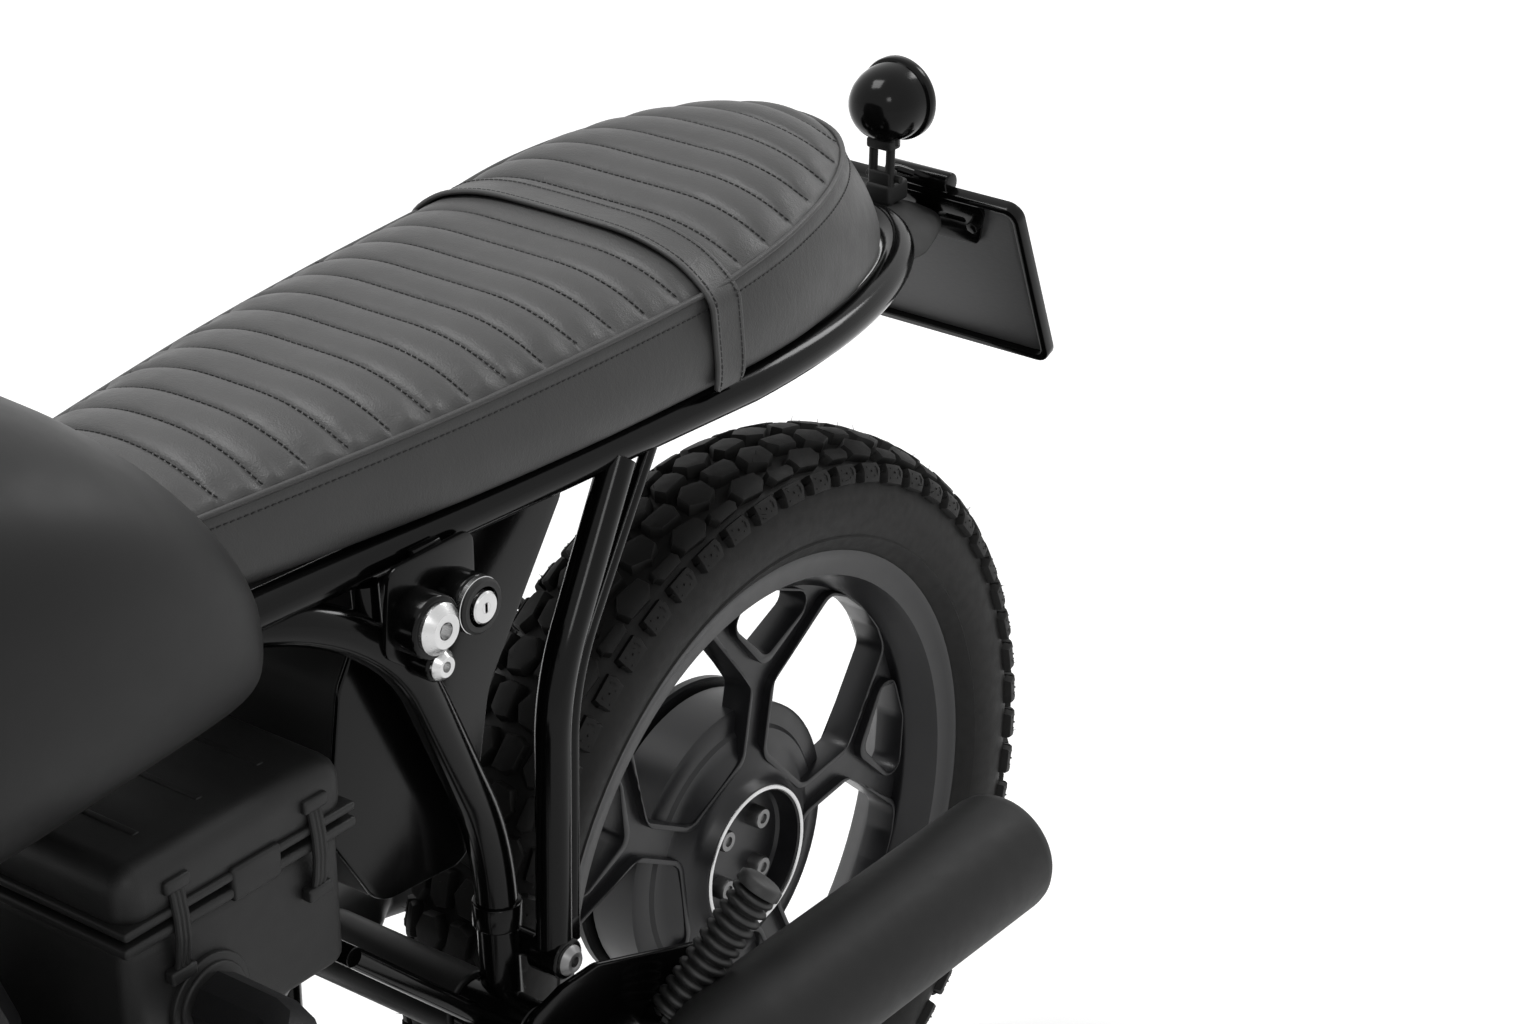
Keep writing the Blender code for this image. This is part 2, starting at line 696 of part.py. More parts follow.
def build_tank():
    # x, half width, bottom, top, squareness
    sections = [
        (-0.576, 0.100, 0.757, 0.812, 2.6),
        (-0.582, 0.124, 0.745, 0.850, 2.7),
        (-0.605, 0.140, 0.736, 0.893, 2.7),
        (-0.650, 0.154, 0.731, 0.943, 2.6),
        (-0.720, 0.165, 0.724, 0.985, 2.5),
        (-0.800, 0.169, 0.716, 1.006, 2.5),
        (-0.880, 0.163, 0.714, 1.008, 2.5),
        (-0.940, 0.146, 0.722, 0.995, 2.5),
        (-0.975, 0.118, 0.742, 0.972, 2.4),
        (-0.992, 0.075, 0.775, 0.935, 2.2),
    ]
    body = loft([squared_ring(*row, 20) for row in sections])
    # Room for the backbone, the frame's arc and the nose of the seat
    head_end, arc_end = backbone()
    line = arc_end - head_end
    slope = line.to_track_quat("X", "Z").to_matrix().to_4x4()
    middle = (head_end + arc_end) / 2 + slope @ Vector((0.025, 0, -0.100))
    tunnel = block(middle, (line.length + 0.110, 0.090, 0.290), 0.030, slope)
    arc_way = block(at(-0.60, 0, 0.74), (0.20, 0.205, 0.19), 0.01)
    seat_way = block(at(-0.50, 0, 0.90), (0.209, 0.196, 0.19), 0.004)
    finished(cut(body, tunnel, arc_way, seat_way), "fuel_tank", "matte_black", 50)
    cap = [(0.0, 0.0), (0.033, 0.0), (0.036, 0.004), (0.036, 0.010), (0.030, 0.016), (0.0, 0.018)]
    cap_at = Matrix.Translation(at(-0.85, 0, 1.00685))
    finished(turned(cap, 16, cap_at), "fuel_cap", "matte_black")


def seat_half_width(x):
    """Half width of the seat's top edge at that distance from the datum."""
    front, rear = RAIL_HALF_FRONT - 0.009, RAIL_HALF_REAR - 0.002
    if x < TAIL_START:
        share = (x - RAIL_FRONT) / (TAIL_START - RAIL_FRONT)
        return front + (rear - front) * (1 - (1 - share) ** 1.7)
    reach = min(1.0, (x - TAIL_START) / (TAIL_LENGTH - 0.008))
    return max(0.012, rear * sqrt(max(0.0, 1 - reach**2.3)))


def build_seat():
    bottom = RAIL_Z + RAIL_RADIUS + FIT
    tail = TAIL_START + TAIL_LENGTH
    rings = []
    stations = [RAIL_FRONT + d for d in (0.0, 0.010, 0.100, 0.200, 0.300, 0.400, 0.500)]
    stations += [tail - d for d in (0.190, 0.120, 0.065, 0.030, 0.010, 0.0)]
    for x in stations:
        half = seat_half_width(x)
        soft = 0.012 if x < RAIL_FRONT + 0.005 else 0.0
        fall = 0.030 * max(0.0, (x - tail + 0.140) / 0.140) ** 2
        top = bottom + 0.0782 + 0.036 * (x - RAIL_FRONT) - soft - fall
        left = [at(x, -half - 0.006, bottom), at(x, -half - 0.008, bottom + 0.022)]
        left.append(at(x, -half, top - 0.022))
        ring = left[:]
        for i in range(9):
            share = -1 + (i + 1) / 5
            ring.append(at(x, share * half * 0.92, top - 0.022 * abs(share) ** 2.4))
        rings.append(ring + mirrored(left)[::-1])
    finished(loft(rings), "seat", "leather", 40)


def build_battery_box():
    # x, and height as a share of the way from the bottom to the top under the rail
    corners = [
        (-0.444, 1.0),
        (-0.282, 1.0),
        (-0.372, 0.474),
        (-0.392, 0.0),
        (-0.470, 0.065),
        (-0.505, 0.323),
        (-0.486, 0.711),
    ]
    bottom, top = BATTERY_BOTTOM, RAIL_Z - 0.020
    flat = [(x, bottom + share * (top - bottom)) for x, share in corners]
    outline = rounded(flat, [0.012, 0.012, 0.05, 0.02, 0.03, 0.03, 0.03], [1, 1, 2, 1, 1, 1, 1])
    box = plate([outline], BATTERY_HALF * 2, side_plane(0))
    hanger = block(at(-0.300, 0, RAIL_Z - 0.0170), (0.020, 0.120, 0.0154))
    finished(fused(box, hanger), "battery_box", "matte_black")
    for side, word in SIDES:
        middle = side_plane(side * (BATTERY_HALF + FIT + COVER_THICKNESS / 2))
        finished(plate([outline], COVER_THICKNESS, middle), f"side_cover_{word}", "frame_black")


def build_locks():
    # x, z, inner y, outer y, radius, sides of each boss
    bosses = [
        (-0.462, 0.762, -0.1175, -0.148, 0.021, 12),
        (-0.425, 0.762, -0.1200, -0.150, 0.019, 12),
        (-0.458, 0.735, -0.1200, -0.145, 0.012, 10),
    ]
    shapes = []
    for x, z, inner, outer, radius, sides in bosses:
        shapes.append(rod(at(x, inner, z), at(x, outer, z), radius, sides))
    back = [(-0.486, 0.745), (-0.480, 0.800), (-0.405, 0.800), (-0.405, 0.748), (-0.455, 0.722)]
    sheet = plate([rounded(back, 0.01, 1)], 0.004, side_plane(-0.1203))
    hook = block(at(-0.442, -0.1156, 0.792), (0.024, 0.0060, 0.020))
    finished(fused(sheet, *shapes, hook), "lock_bracket", "frame_black")


def build_engine():
    build_crankcase()
    build_gearbox()
    for side, word in SIDES:
        build_cylinder(side, word)
    build_airbox()
    for side, word in SIDES:
        build_carburettor(side, word)


def build_crankcase():
    nose, back = ENGINE_NOSE + 0.028, CRANKCASE_BACK
    # The wide lower case, and the narrow housing that stands through it
    wide = [
        (nose, 0.300),
        (nose, 0.520),
        (nose + 0.045, 0.575),
        (back - 0.020, 0.575),
        (back, 0.545),
        (back, 0.266),
        (nose + 0.030, 0.266),
    ]
    tall = [
        (nose + 0.012, 0.540),
        (nose + 0.045, 0.640),
        (nose + 0.090, 0.655),
        (back - 0.030, 0.655),
        (back - 0.008, 0.600),
        (back - 0.010, 0.230),
        (nose + 0.040, 0.230),
    ]
    shapes = [
        plate([rounded(wide, 0.03)], CRANKCASE_HALF * 2, side_plane(0), 0.012),
        plate([rounded(tall, 0.025)], 0.150, side_plane(0), 0.014),
    ]
    # Generator cover on the nose, the sump with its fins, and a flange for each cylinder
    cover = [(0.0, 0.0), (0.098, 0.0), (0.098, 0.008), (0.088, 0.010), (0.084, 0.032), (0.060, 0.044)]
    cover.append((0.0, 0.044))
    facing = Matrix.Translation(at(nose + 0.016, 0, 0.430)) @ Matrix.Rotation(-pi / 2, 4, "Y")
    shapes.append(turned(cover, 16, facing))
    middle, length = (nose + back) / 2 + 0.004, back - nose - 0.050
    shapes.append(block(at(middle, 0, 0.2225), (length, 0.130, 0.035)))
    fin = (length - 0.030, 0.006, 0.020)
    shapes += [block(at(middle, y, 0.200), fin) for y in (-0.050, -0.025, 0.0, 0.025, 0.050)]
    for side, _ in SIDES:
        x = CYLINDER_X[side]
        shapes.append(rod(at(x, side * 0.08, CRANK_Z), at(x, side * CRANKCASE_HALF, CRANK_Z), 0.074, 16))
    finished(fused(*shapes), "crankcase", "engine")


def build_gearbox():
    front = CRANKCASE_BACK + FIT
    case = [
        (front, 0.285),
        (front, 0.550),
        (-0.640, 0.550),
        (-0.590, 0.520),
        (-0.575, 0.440),
        (-0.580, 0.330),
        (-0.610, 0.285),
    ]
    rear = [(-0.62, 0.330), (-0.62, 0.505), (-0.54, 0.500), (-0.505, 0.470), (-0.505, 0.345), (-0.53, 0.305)]
    shapes = [
        plate([rounded(case, 0.03, 1)], 0.200, side_plane(0), 0.010),
        plate([rounded(rear, 0.025, 1)], 0.150, side_plane(0), 0.012),
        rod(at(-0.52, 0.040, 0.432), at(-0.440, 0.062, 0.433), 0.032, 14),
    ]
    finished(fused(*shapes), "gearbox", "engine")


def exhaust_port(side):
    """The middle of the port face at the front of a cylinder head."""
    return at(CYLINDER_X[side] - 0.100, side * 0.305, CRANK_Z - 0.020)


def intake_port(side):
    """The middle of the port face at the back of a cylinder head."""
    return at(CYLINDER_X[side] + 0.115, side * 0.252, CRANK_Z + 0.047)


def port_root(side, back):
    """Where a port leaves the head's inside: the intake one at the back, or the exhaust one."""
    if back:
        return at(CYLINDER_X[side] + 0.050, side * 0.285, CRANK_Z + 0.012)
    return at(CYLINDER_X[side] - 0.060, side * 0.305, CRANK_Z - 0.010)


def build_cylinder(side, word):
    x = CYLINDER_X[side]
    start = CRANKCASE_HALF + FIT
    length = CYLINDER_OUT - CRANKCASE_HALF
    profile = [(0.0, 0.0), (0.056, 0.0)]
    fins = 5
    pitch = (length - 0.012) / fins
    for i in range(fins):
        low = 0.012 + i * pitch
        profile += [(BARREL_RADIUS, low), (FIN_RADIUS, low + 0.003), (FIN_RADIUS, low + 0.008)]
    profile += [(BARREL_RADIUS, length), (0.0, length)]
    base = Matrix.Translation(at(x, side * start, CRANK_Z)) @ Matrix.Rotation(-side * pi / 2, 4, "X")
    barrel = turned(profile, 12, base)
    middle = side * (CYLINDER_OUT + HEAD_OUT) / 2
    depth = HEAD_OUT - CYLINDER_OUT
    head = block(at(x, middle, CRANK_Z), (0.150, depth, 0.125))
    fin = (0.178, depth + 0.004, 0.005)
    head_fins = [block(at(x, middle, CRANK_Z + z), fin) for z in (-0.052, -0.026, 0.026, 0.052)]
    exhaust = rod(port_root(side, False), exhaust_port(side), 0.026, 12)
    intake = rod(port_root(side, True), intake_port(side), 0.021, 12)
    finished(fused(barrel, head, *head_fins, exhaust, intake), f"cylinder_{word}", "engine")
    # The cover's outline is a rounded lozenge over the two rockers
    top = COVER_OUT - HEAD_OUT
    wide, high = 0.075, 0.058
    corners = [(-wide, -0.030), (-wide, 0.030), (-0.040, high), (0.040, high), (wide, 0.030), (wide, -0.030)]
    corners += [(0.040, -high), (-0.040, -high)]
    outline = rounded([(x + a, CRANK_Z + b) for a, b in corners], 0.015, 1)
    cover = plate([outline], top - 0.0005, side_plane(side * (HEAD_OUT + 0.0025 + top / 2)), 0.009)
    rib = (0.100, 0.006, 0.006)
    ribs = [block(at(x, side * (COVER_OUT + 0.001), CRANK_Z + z), rib) for z in (-0.02, 0.0, 0.02)]
    finished(fused(cover, *ribs), f"rocker_cover_{word}", "engine")


def build_airbox():
    half = AIRBOX_HALF
    middle, height = (AIRBOX_TOP + AIRBOX_BOTTOM) / 2, AIRBOX_TOP - AIRBOX_BOTTOM
    shapes = [
        block(at(AIRBOX_X, 0, middle), (0.180, half * 2, height), 0.014),
        block(at(AIRBOX_X, 0, AIRBOX_TOP - 0.0325), (0.188, half * 2 + 0.008, 0.030), 0.008),
    ]
    for side, _ in SIDES:
        inner, outer = side * (half - 0.018), side * (half + 0.004)
        duct_x = AIRBOX_X - 0.030
        shapes.append(rod(at(duct_x, inner, DUCT_Z), at(duct_x, outer, DUCT_Z), 0.026, 14))
        # Latch of the lid
        shapes.append(block(at(AIRBOX_X, side * (half + 0.001), AIRBOX_TOP - 0.030), (0.030, 0.012, 0.036)))
    finished(fused(*shapes), "airbox", "matte_black")


def build_carburettor(side, word):
    mouth = intake_port(side)
    way = (mouth - port_root(side, True)).normalized()
    start = mouth + way * FIT
    middle = start + way * 0.046
    end = start + way * 0.080
    duct_x = AIRBOX_X - 0.030
    trunk = [
        end - way * 0.02,
        at(duct_x - 0.050, side * 0.205, DUCT_Z),
        at(duct_x, side * 0.185, DUCT_Z),
        at(duct_x, side * (AIRBOX_HALF + 0.004 + FIT), DUCT_Z),
    ]
    shapes = [
        rod(start, end, 0.022, 10),
        rod(middle - Vector((0, 0, 0.030)), middle + Vector((0, 0, 0.055)), 0.026, 10),
        rod(middle - Vector((0, 0, 0.060)), middle - Vector((0, 0, 0.030)), 0.018, 10, 0.026),
        tube(bent(trunk, [0.06, 0.025], 2), 0.021),
    ]
    finished(fused(*shapes), f"carburettor_{word}", "engine")


def build_exhaust():
    # Radius and distance from the front of the silencer
    profile = [
        (0.0, 0.0),
        (0.022, 0.0),
        (0.030, 0.02),
        (SILENCER_RADIUS, 0.10),
        (SILENCER_RADIUS, 0.405),
        (SILENCER_RADIUS - 0.003, 0.413),
        (0.0, 0.413),
    ]
    for side, word in SIDES:
        port = exhaust_port(side)
        way = (port - port_root(side, False)).normalized()
        y = side * SILENCER_Y
        points = [
            port + way * FIT,
            port + way * 0.065,
            at(CYLINDER_X[side] - 0.175, side * 0.215, 0.200),
            at(-0.86, side * 0.172, 0.165),
            at(-0.60, side * 0.172, 0.172),
            at(-0.40, y - side * 0.002, SILENCER_Z - 0.016),
            at(-0.34, y, SILENCER_Z),
        ]
        pipe = tube(bent(points, [0.05, 0.07, 0.08, 0.15, 0.06], [2, 2, 1, 1, 1]), 0.019, 1)
        silencer = turned(profile, 14, along(-0.36, y, SILENCER_Z))
        outlet = rod(at(0.0, y, SILENCER_Z), at(0.070, y, SILENCER_Z), 0.030, 12)
        finished(cut(fused(pipe, silencer), outlet), f"exhaust_{word}", "matte_black")


def drive_joint():
    """Where the swinging arm meets the final drive, ahead of the rear axle on the right."""
    return at(REAR_AXLE_X - 0.150, 0.1120, REAR_AXLE_Z + 0.032)


def arm_elbow():
    """Where the arm turns back beside the tyre."""
    return at(PIVOT_X + 0.089, 0.101, 0.410)


def build_swingarm():
    points = [at(PIVOT_X, 0.050, PIVOT_Z), at(PIVOT_X + 0.033, 0.058, 0.431), arm_elbow(), drive_joint()]
    half = BATTERY_HALF + 0.0085
    swing = fused(
        rod(at(PIVOT_X, -half, PIVOT_Z), at(PIVOT_X, half, PIVOT_Z), 0.024, 12),
        tube(bent(points, [0.04, 0.04], 3), 0.026, 3),
    )
    finished(swing, "swingarm", "satin_black")
    # Spigot, drum wall, crown wheel housing and cover, out to the right
    profile = [
        (0.0, 0.023),
        (0.0200, 0.023),
        (0.0200, 0.0465),
        (0.120, 0.0465),
        (0.120, 0.054),
        (0.095, 0.060),
        (0.098, 0.110),
        (0.080, 0.138),
        (0.040, 0.150),
        (0.0, 0.152),
    ]
    case = turned(profile, 16, across(REAR_AXLE_X, REAR_AXLE_Z))
    way = (drive_joint() - arm_elbow()).normalized()
    neck = rod(drive_joint() + way * FIT, drive_joint() + way * 0.09, 0.036, 16)
    lug = rod(shock_foot(0.105, -0.022), shock_foot(0.145, -0.022), 0.018, 14)
    finished(fused(case, neck, lug), "final_drive", "satin_black")


def shock_foot(y, drop=0.0):
    """A point on the lower mount of the shock absorber, or below it."""
    return at(REAR_AXLE_X - 0.085, y, REAR_AXLE_Z + 0.084 + drop)


def build_shock():
    low, high = shock_foot(0.126), at(-0.178, 0.126, RAIL_Z - RAIL_RADIUS - 0.0031)
    line = high - low
    length = line.length
    frame = Matrix.Translation(low) @ line.to_track_quat("Z", "Y").to_matrix().to_4x4()
    profile = [(0.0, 0.0), (0.014, 0.0), (0.014, 0.03), (0.026, 0.035)]
    coils = 5
    pitch = (length - 0.10) / coils
    for i in range(coils):
        z = 0.045 + i * pitch
        profile += [(0.020, z), (0.029, z + 0.4 * pitch), (0.029, z + 0.6 * pitch)]
    profile += [(0.027, length - 0.045), (0.027, length - 0.025), (0.014, length - 0.02)]
    profile += [(0.014, length), (0.0, length)]
    finished(turned(profile, 8, frame), "shock_absorber", "satin_black")


def build_footrests():
    corners = [
        (-0.402, 0.452),
        (-0.365, 0.462),
        (-0.330, 0.462),
        (-0.205, 0.418),
        (-0.200, 0.392),
        (-0.275, 0.375),
        (-0.395, 0.415),
    ]
    outline = rounded(corners, [0.015, 0.01, 0.02, 0.012, 0.012, 0.02, 0.015], 1)
    sheet_y, sheet = 0.1455, 0.006
    for side, word in SIDES:
        # The rubber is folded up against its plate, and the plate clears the silencer
        root = at(-0.278, side * 0.162, 0.398)
        tip = at(-0.218, side * 0.196, 0.487)
        turn = (tip - root).to_track_quat("Z", "Y").to_matrix().to_4x4()
        shapes = [
            plate([outline], sheet, side_plane(side * sheet_y)),
            rod(at(-0.222, side * 0.146, 0.402), at(-0.222, side * 0.1665, 0.402), 0.009),
            rod(at(-0.278, side * 0.146, 0.396), at(-0.278, side * 0.170, 0.402), 0.010),
            block((root + tip) / 2, (0.034, 0.026, (tip - root).length), 0.007, turn),
        ]
        y = side * SILENCER_Y
        room = rod(at(-0.7, y, SILENCER_Z), at(0.3, y, SILENCER_Z), SILENCER_RADIUS + 0.0015, 28)
        finished(cut(fused(*shapes), room), f"passenger_footrest_{word}", "frame_black")
        path = [(ARC_HALF_LOW + TUBE_RADIUS + 0.0005, 0.230), (0.160, 0.230), (0.180, 0.300), (0.235, 0.300)]
        arm = tube(bent([at(-0.655, side * y, z) for y, z in path], 0.02, 2), 0.008, 1)
        pad = block(at(-0.655, side * 0.240, 0.300), (0.036, 0.100, 0.024), 0.007)
        finished(fused(arm, pad), f"footpeg_{word}", "rubber")


def tail_height(x, y):
    """Height of the tail guard: level behind the rail, then falling away to the rear and to the sides."""
    return RAIL_Z + 0.0045 - 4.6 * max(0.0, x - 0.17) ** 2 - 8.8 * y * y


def build_tail():
    gap = RAIL_RADIUS + 0.0006
    rows = []
    for y in (-0.052, -0.040, -0.026, -0.010, 0.010, 0.026, 0.040, 0.052):
        front = TAIL_START + (TAIL_LENGTH + gap) * sqrt(1 - (y / (RAIL_HALF_REAR + gap)) ** 2)
        back = 0.130 + 0.106 * sqrt(1 - (y / 0.056) ** 2)
        stations = [front + (back - front) * i / 3 for i in range(4)]
        upper = [at(x, y, tail_height(x, y)) for x in stations]
        rows.append(upper + [p - Vector((0, 0, 0.003)) for p in reversed(upper)])
    lamp_x, lamp_z = LAMP_AT
    clip_foot, clip_top = RAIL_Z + 0.0025, lamp_z - 0.0284
    clip = block(at(lamp_x - 0.021, 0, (clip_foot + clip_top) / 2), (0.010, 0.018, clip_top - clip_foot))
    foot = block(at(lamp_x - 0.009, 0, RAIL_Z + 0.0015), (0.026, 0.018, 0.008), 0.001)
    finished(fused(loft(rows), foot, clip), "tail_guard", "matte_black")
    # A deep bowl that faces forward, with its rim at the rear
    bowl = [
        (0.0, -0.043),
        (0.014, -0.040),
        (0.024, -0.030),
        (0.029, -0.014),
        (0.029, -0.004),
        (0.031, -0.003),
        (0.031, 0.005),
        (0.024, 0.010),
        (0.0, 0.012),
    ]
    finished(turned(bowl, 16, along(lamp_x, 0, lamp_z)), "tail_lamp", "frame_black")
    build_plate()


def build_plate():
    # The plate hangs behind its holder, tilted to face up a little
    turn = Matrix.Rotation(pi / 2 - PLATE_TILT, 4, "Y") @ Matrix.Rotation(pi / 2, 4, "Z")
    reach = PLATE_HEIGHT / 2
    middle = at(PLATE_TOP_X + reach * sin(PLATE_TILT), 0, PLATE_TOP_Z - reach * cos(PLATE_TILT))
    flat = Matrix.Translation(middle) @ turn
    half_width, half_height = PLATE_WIDTH / 2, PLATE_HEIGHT / 2
    rim_x, rim_y = half_width * 0.93, half_height * 0.92

    def rectangle(x, y, radius):
        return rounded([(-x, -y), (x, -y), (x, y), (-x, y)], radius, 2)

    channel = plate([rectangle(half_width, half_height, 0.012), rectangle(rim_x, rim_y, 0.008)], 0.010, flat)
    top = half_height - 0.003
    tongue = rounded([(-0.045, top - 0.0415), (0.045, top - 0.0415), (0.060, top), (-0.060, top)], 0.008, 1)
    backing = plate([tongue], 0.003, flat @ Matrix.Translation((0, 0, -0.0030)))
    arm_at = at(0.225, 0, tail_height(0.225, 0) - 0.0094)
    arm = block(arm_at, (0.044, 0.024, 0.005), 0.0, Matrix.Rotation(radians(26.8), 4, "Y"))
    # Lamp over the plate's upper edge
    lamp = rod(*[flat @ Vector((x, half_height + 0.005, 0.002)) for x in (-0.028, 0.028)], 0.008)
    finished(fused(channel, backing, arm, lamp), "plate_holder", "frame_black")
    inside = rectangle(rim_x - FIT, rim_y - FIT, 0.008)
    finished(plate([inside], 0.002, flat @ Matrix.Translation((0, 0, 0.0012))), "number_plate", "plate")


def build_steering():
    build_clamps()
    for side, word in SIDES:
        build_fork_leg(side, word)
    axle = rod(front_axle(-0.140), front_axle(0.140), AXLE_RADIUS, 12)
    heads = [rod(front_axle(side * 0.1325), front_axle(side * 0.142), 0.013, 12) for side, _ in SIDES]
    finished(fused(axle, *heads), "front_axle", "steel")
    build_front_mudguard()
    build_headlight()
    build_handlebar()
    build_speedometer()
    build_caliper()


def front_axle(y):
    return at(FRONT_AXLE_X, y, AXLE_LEVEL)


def leg_point(side, z):
    """A point on a fork leg's own line."""
    return steer_point(-FORK_OFFSET, side * FORK_HALF_SPACING, z)


def build_clamps():
    fork_x = -FORK_OFFSET
    outer = FORK_HALF_SPACING + 0.032
    corners = [
        (0.021, -0.014),
        (0.021, 0.014),
        (fork_x + 0.020, outer),
        (fork_x - 0.032, outer),
        (fork_x - 0.024, 0.0),
        (fork_x - 0.032, -outer),
        (fork_x + 0.020, -outer),
    ]
    outline = rounded(corners, [0.008, 0.008, 0.02, 0.02, 0.05, 0.02, 0.02], 1)
    leg_holes = [circle(STANCHION_RADIUS + FIT, 16, (fork_x, side * FORK_HALF_SPACING)) for side, _ in SIDES]
    thick, below, above = 0.032, -0.114, 0.109
    lower = plate([outline, *leg_holes], thick, STEER @ Matrix.Translation((0, 0, below)))
    stem = rod(steer_point(0, 0, below), steer_point(0, 0, above + 0.019), STEM_RADIUS, 16)
    finished(fused(lower, stem), "lower_clamp", "satin_black")
    holes = [*leg_holes, circle(STEM_RADIUS + FIT, 16)]
    upper = plate([outline, *holes], 0.022, STEER @ Matrix.Translation((0, 0, above)))
    # Two risers hold the bar under their caps
    bar_x, tilt = -0.012, Matrix.Rotation(RAKE, 4, "Y")
    holders = []
    for side, _ in SIDES:
        y = side * 0.045
        holders.append(block(steer_point(bar_x, y, BAR_RISE - 0.016), (0.036, 0.024, 0.040), 0.0, tilt))
        holders.append(block(steer_point(bar_x, y, BAR_RISE + 0.007), (0.034, 0.022, 0.020), 0.0, tilt))
    way = rod(*[steer_point(bar_x, y, BAR_RISE) for y in (-0.08, 0.08)], BAR_RADIUS + 0.0009, 8)
    finished(cut(fused(upper, *holders), way), "upper_clamp", "satin_black")


def build_fork_leg(side, word):
    y = side * FORK_HALF_SPACING
    top = SLIDER_LENGTH - FORK_LENGTH
    profile = [
        (0.0, -FORK_LENGTH - 0.030),
        (0.020, -FORK_LENGTH - 0.028),
        (SLIDER_RADIUS, -FORK_LENGTH + 0.040),
        (SLIDER_RADIUS, top - 0.010),
        (SLIDER_RADIUS + 0.002, top - 0.009),
        (SLIDER_RADIUS + 0.001, top),
        (STANCHION_RADIUS, top + 0.004),
        (STANCHION_RADIUS, 0.124),
        (0.0, 0.130),
    ]
    leg = turned(profile, 16, STEER @ Matrix.Translation((-FORK_OFFSET, y, 0)))
    boss = rod(front_axle(y - side * 0.027), front_axle(y + side * 0.032), 0.023, 12)
    bore = rod(front_axle(y - 0.06), front_axle(y + 0.06), AXLE_RADIUS + FIT, 12)
    finished(cut(fused(leg, boss), bore), f"fork_leg_{word}", "satin_black")


def build_front_mudguard():
    inner = TYRE_RADIUS + 0.016
    # y and drop below the crown of the guard's cross section
    section = [(-0.058, -0.022), (-0.050, -0.008), (-0.030, 0.0), (0.0, 0.003)]
    section += [(-y, drop) for y, drop in section[2::-1]]
    first, last, steps = radians(48), radians(150), 9
    shape = bmesh.new()
    rings = []
    for i in range(steps + 1):
        angle = first + (last - first) * i / steps
        ring = []
        for y, drop in section:
            reach = inner + drop
            ring.append(shape.verts.new(front_axle(y) + Vector((reach * cos(angle), 0, reach * sin(angle)))))
        rings.append(ring)
    for one, two in zip(rings, rings[1:]):
        for i in range(len(section) - 1):
            shape.faces.new((one[i], one[i + 1], two[i + 1], two[i]))
    bmesh.ops.recalc_face_normals(shape, faces=shape.faces)
    mesh = bpy.data.meshes.new("guard")
    shape.to_mesh(mesh)
    shape.free()
    guard = object_of("guard", mesh)
    wall = guard.modifiers.new("wall", "SOLIDIFY")
    wall.thickness = 0.003
    wall.offset = 1
    tilt = Matrix.Rotation(RAKE, 4, "Y")
    tab_z = TYRE_RADIUS + 0.004 - FORK_LENGTH
    tabs, legs = [], []
    for side, _ in SIDES:
        middle = steer_point(-FORK_OFFSET, side * 0.0655, tab_z)
        tabs.append(block(middle, (0.030, 0.0128, 0.030), 0.0, tilt))
        ends = leg_point(side, tab_z - 0.05), leg_point(side, tab_z + 0.05)
        legs.append(rod(*ends, SLIDER_RADIUS + FIT, 16))
    finished(cut(fused(settled(guard), *tabs), *legs), "front_mudguard", "matte_black")


def build_headlight():
    centre = steer_point(-0.165, 0, 0.005)
    face = Matrix.Translation(centre) @ Matrix.Rotation(-pi / 2, 4, "Y")
    radius = LAMP_RADIUS
    profile = [
        (0.0, -0.085),
        (radius * 0.37, -0.082),
        (radius * 0.71, -0.064),
        (radius * 0.93, -0.030),
        (radius, 0.0),
        (radius, 0.034),
        (radius + 0.004, 0.036),
        (radius + 0.004, 0.050),
        (radius - 0.0045, 0.052),
        (radius - 0.0045, 0.044),
        (0.0, 0.044),
    ]
    shapes = [turned(profile, 16, face)]
    tilt = Matrix.Rotation(RAKE, 4, "Y")
    for side, _ in SIDES:
        shapes.append(rod(leg_point(side, -0.030), leg_point(side, 0.035), STANCHION_RADIUS + 0.004, 10))
        shapes.append(block(steer_point(-0.108, side * 0.0865, 0.004), (0.125, 0.005, 0.036), 0.0, tilt))
        pin = Vector((0, side * 0.094, 0))
        shapes.append(rod(centre + pin * 0.75, centre + pin, 0.010, 8))
    room = STANCHION_RADIUS + 0.0012
    legs = [rod(leg_point(side, -0.1), leg_point(side, 0.1), room, 10) for side, _ in SIDES]
    finished(cut(fused(*shapes), *legs), "headlight", "satin_black")
    edge = radius - 0.0048
    lens = [(0.0, 0.0443), (edge, 0.0443), (edge, 0.050), (radius * 0.67, 0.058), (0.0, 0.063)]
    finished(turned(lens, 16, face), "headlight_glass", "glass")


def build_handlebar():
    x = -0.012
    half = [
        steer_point(x, 0, BAR_RISE),
        steer_point(x, 0.085, BAR_RISE),
        steer_point(x - 0.005, 0.170, BAR_RISE + 0.050),
        steer_point(x + 0.020, BAR_HALF_WIDTH, BAR_RISE + 0.055),
    ]
    path = bent([*mirrored(half)[:0:-1], *half[1:]], 0.05, 2)
    finished(tube(path, BAR_RADIUS), "handlebar", "satin_black")
    for side, word in SIDES:
        mirror = Matrix.Scale(side, 4, (0, 1, 0))
        end, inner = mirror @ half[3], mirror @ half[2]
        way = (end - inner).normalized()
        start = end - way * (GRIP_LENGTH - 0.004)
        grip = rod(start, end + way * 0.004, 0.0165, 12)
        hollow = rod(start - way * 0.01, end + way * FIT, BAR_RADIUS + 0.0009, 12)
        finished(cut(grip, hollow), f"grip_{word}", "rubber")
        build_lever(side, "clutch_lever" if side < 0 else "brake_lever", start - way * 0.022, way)


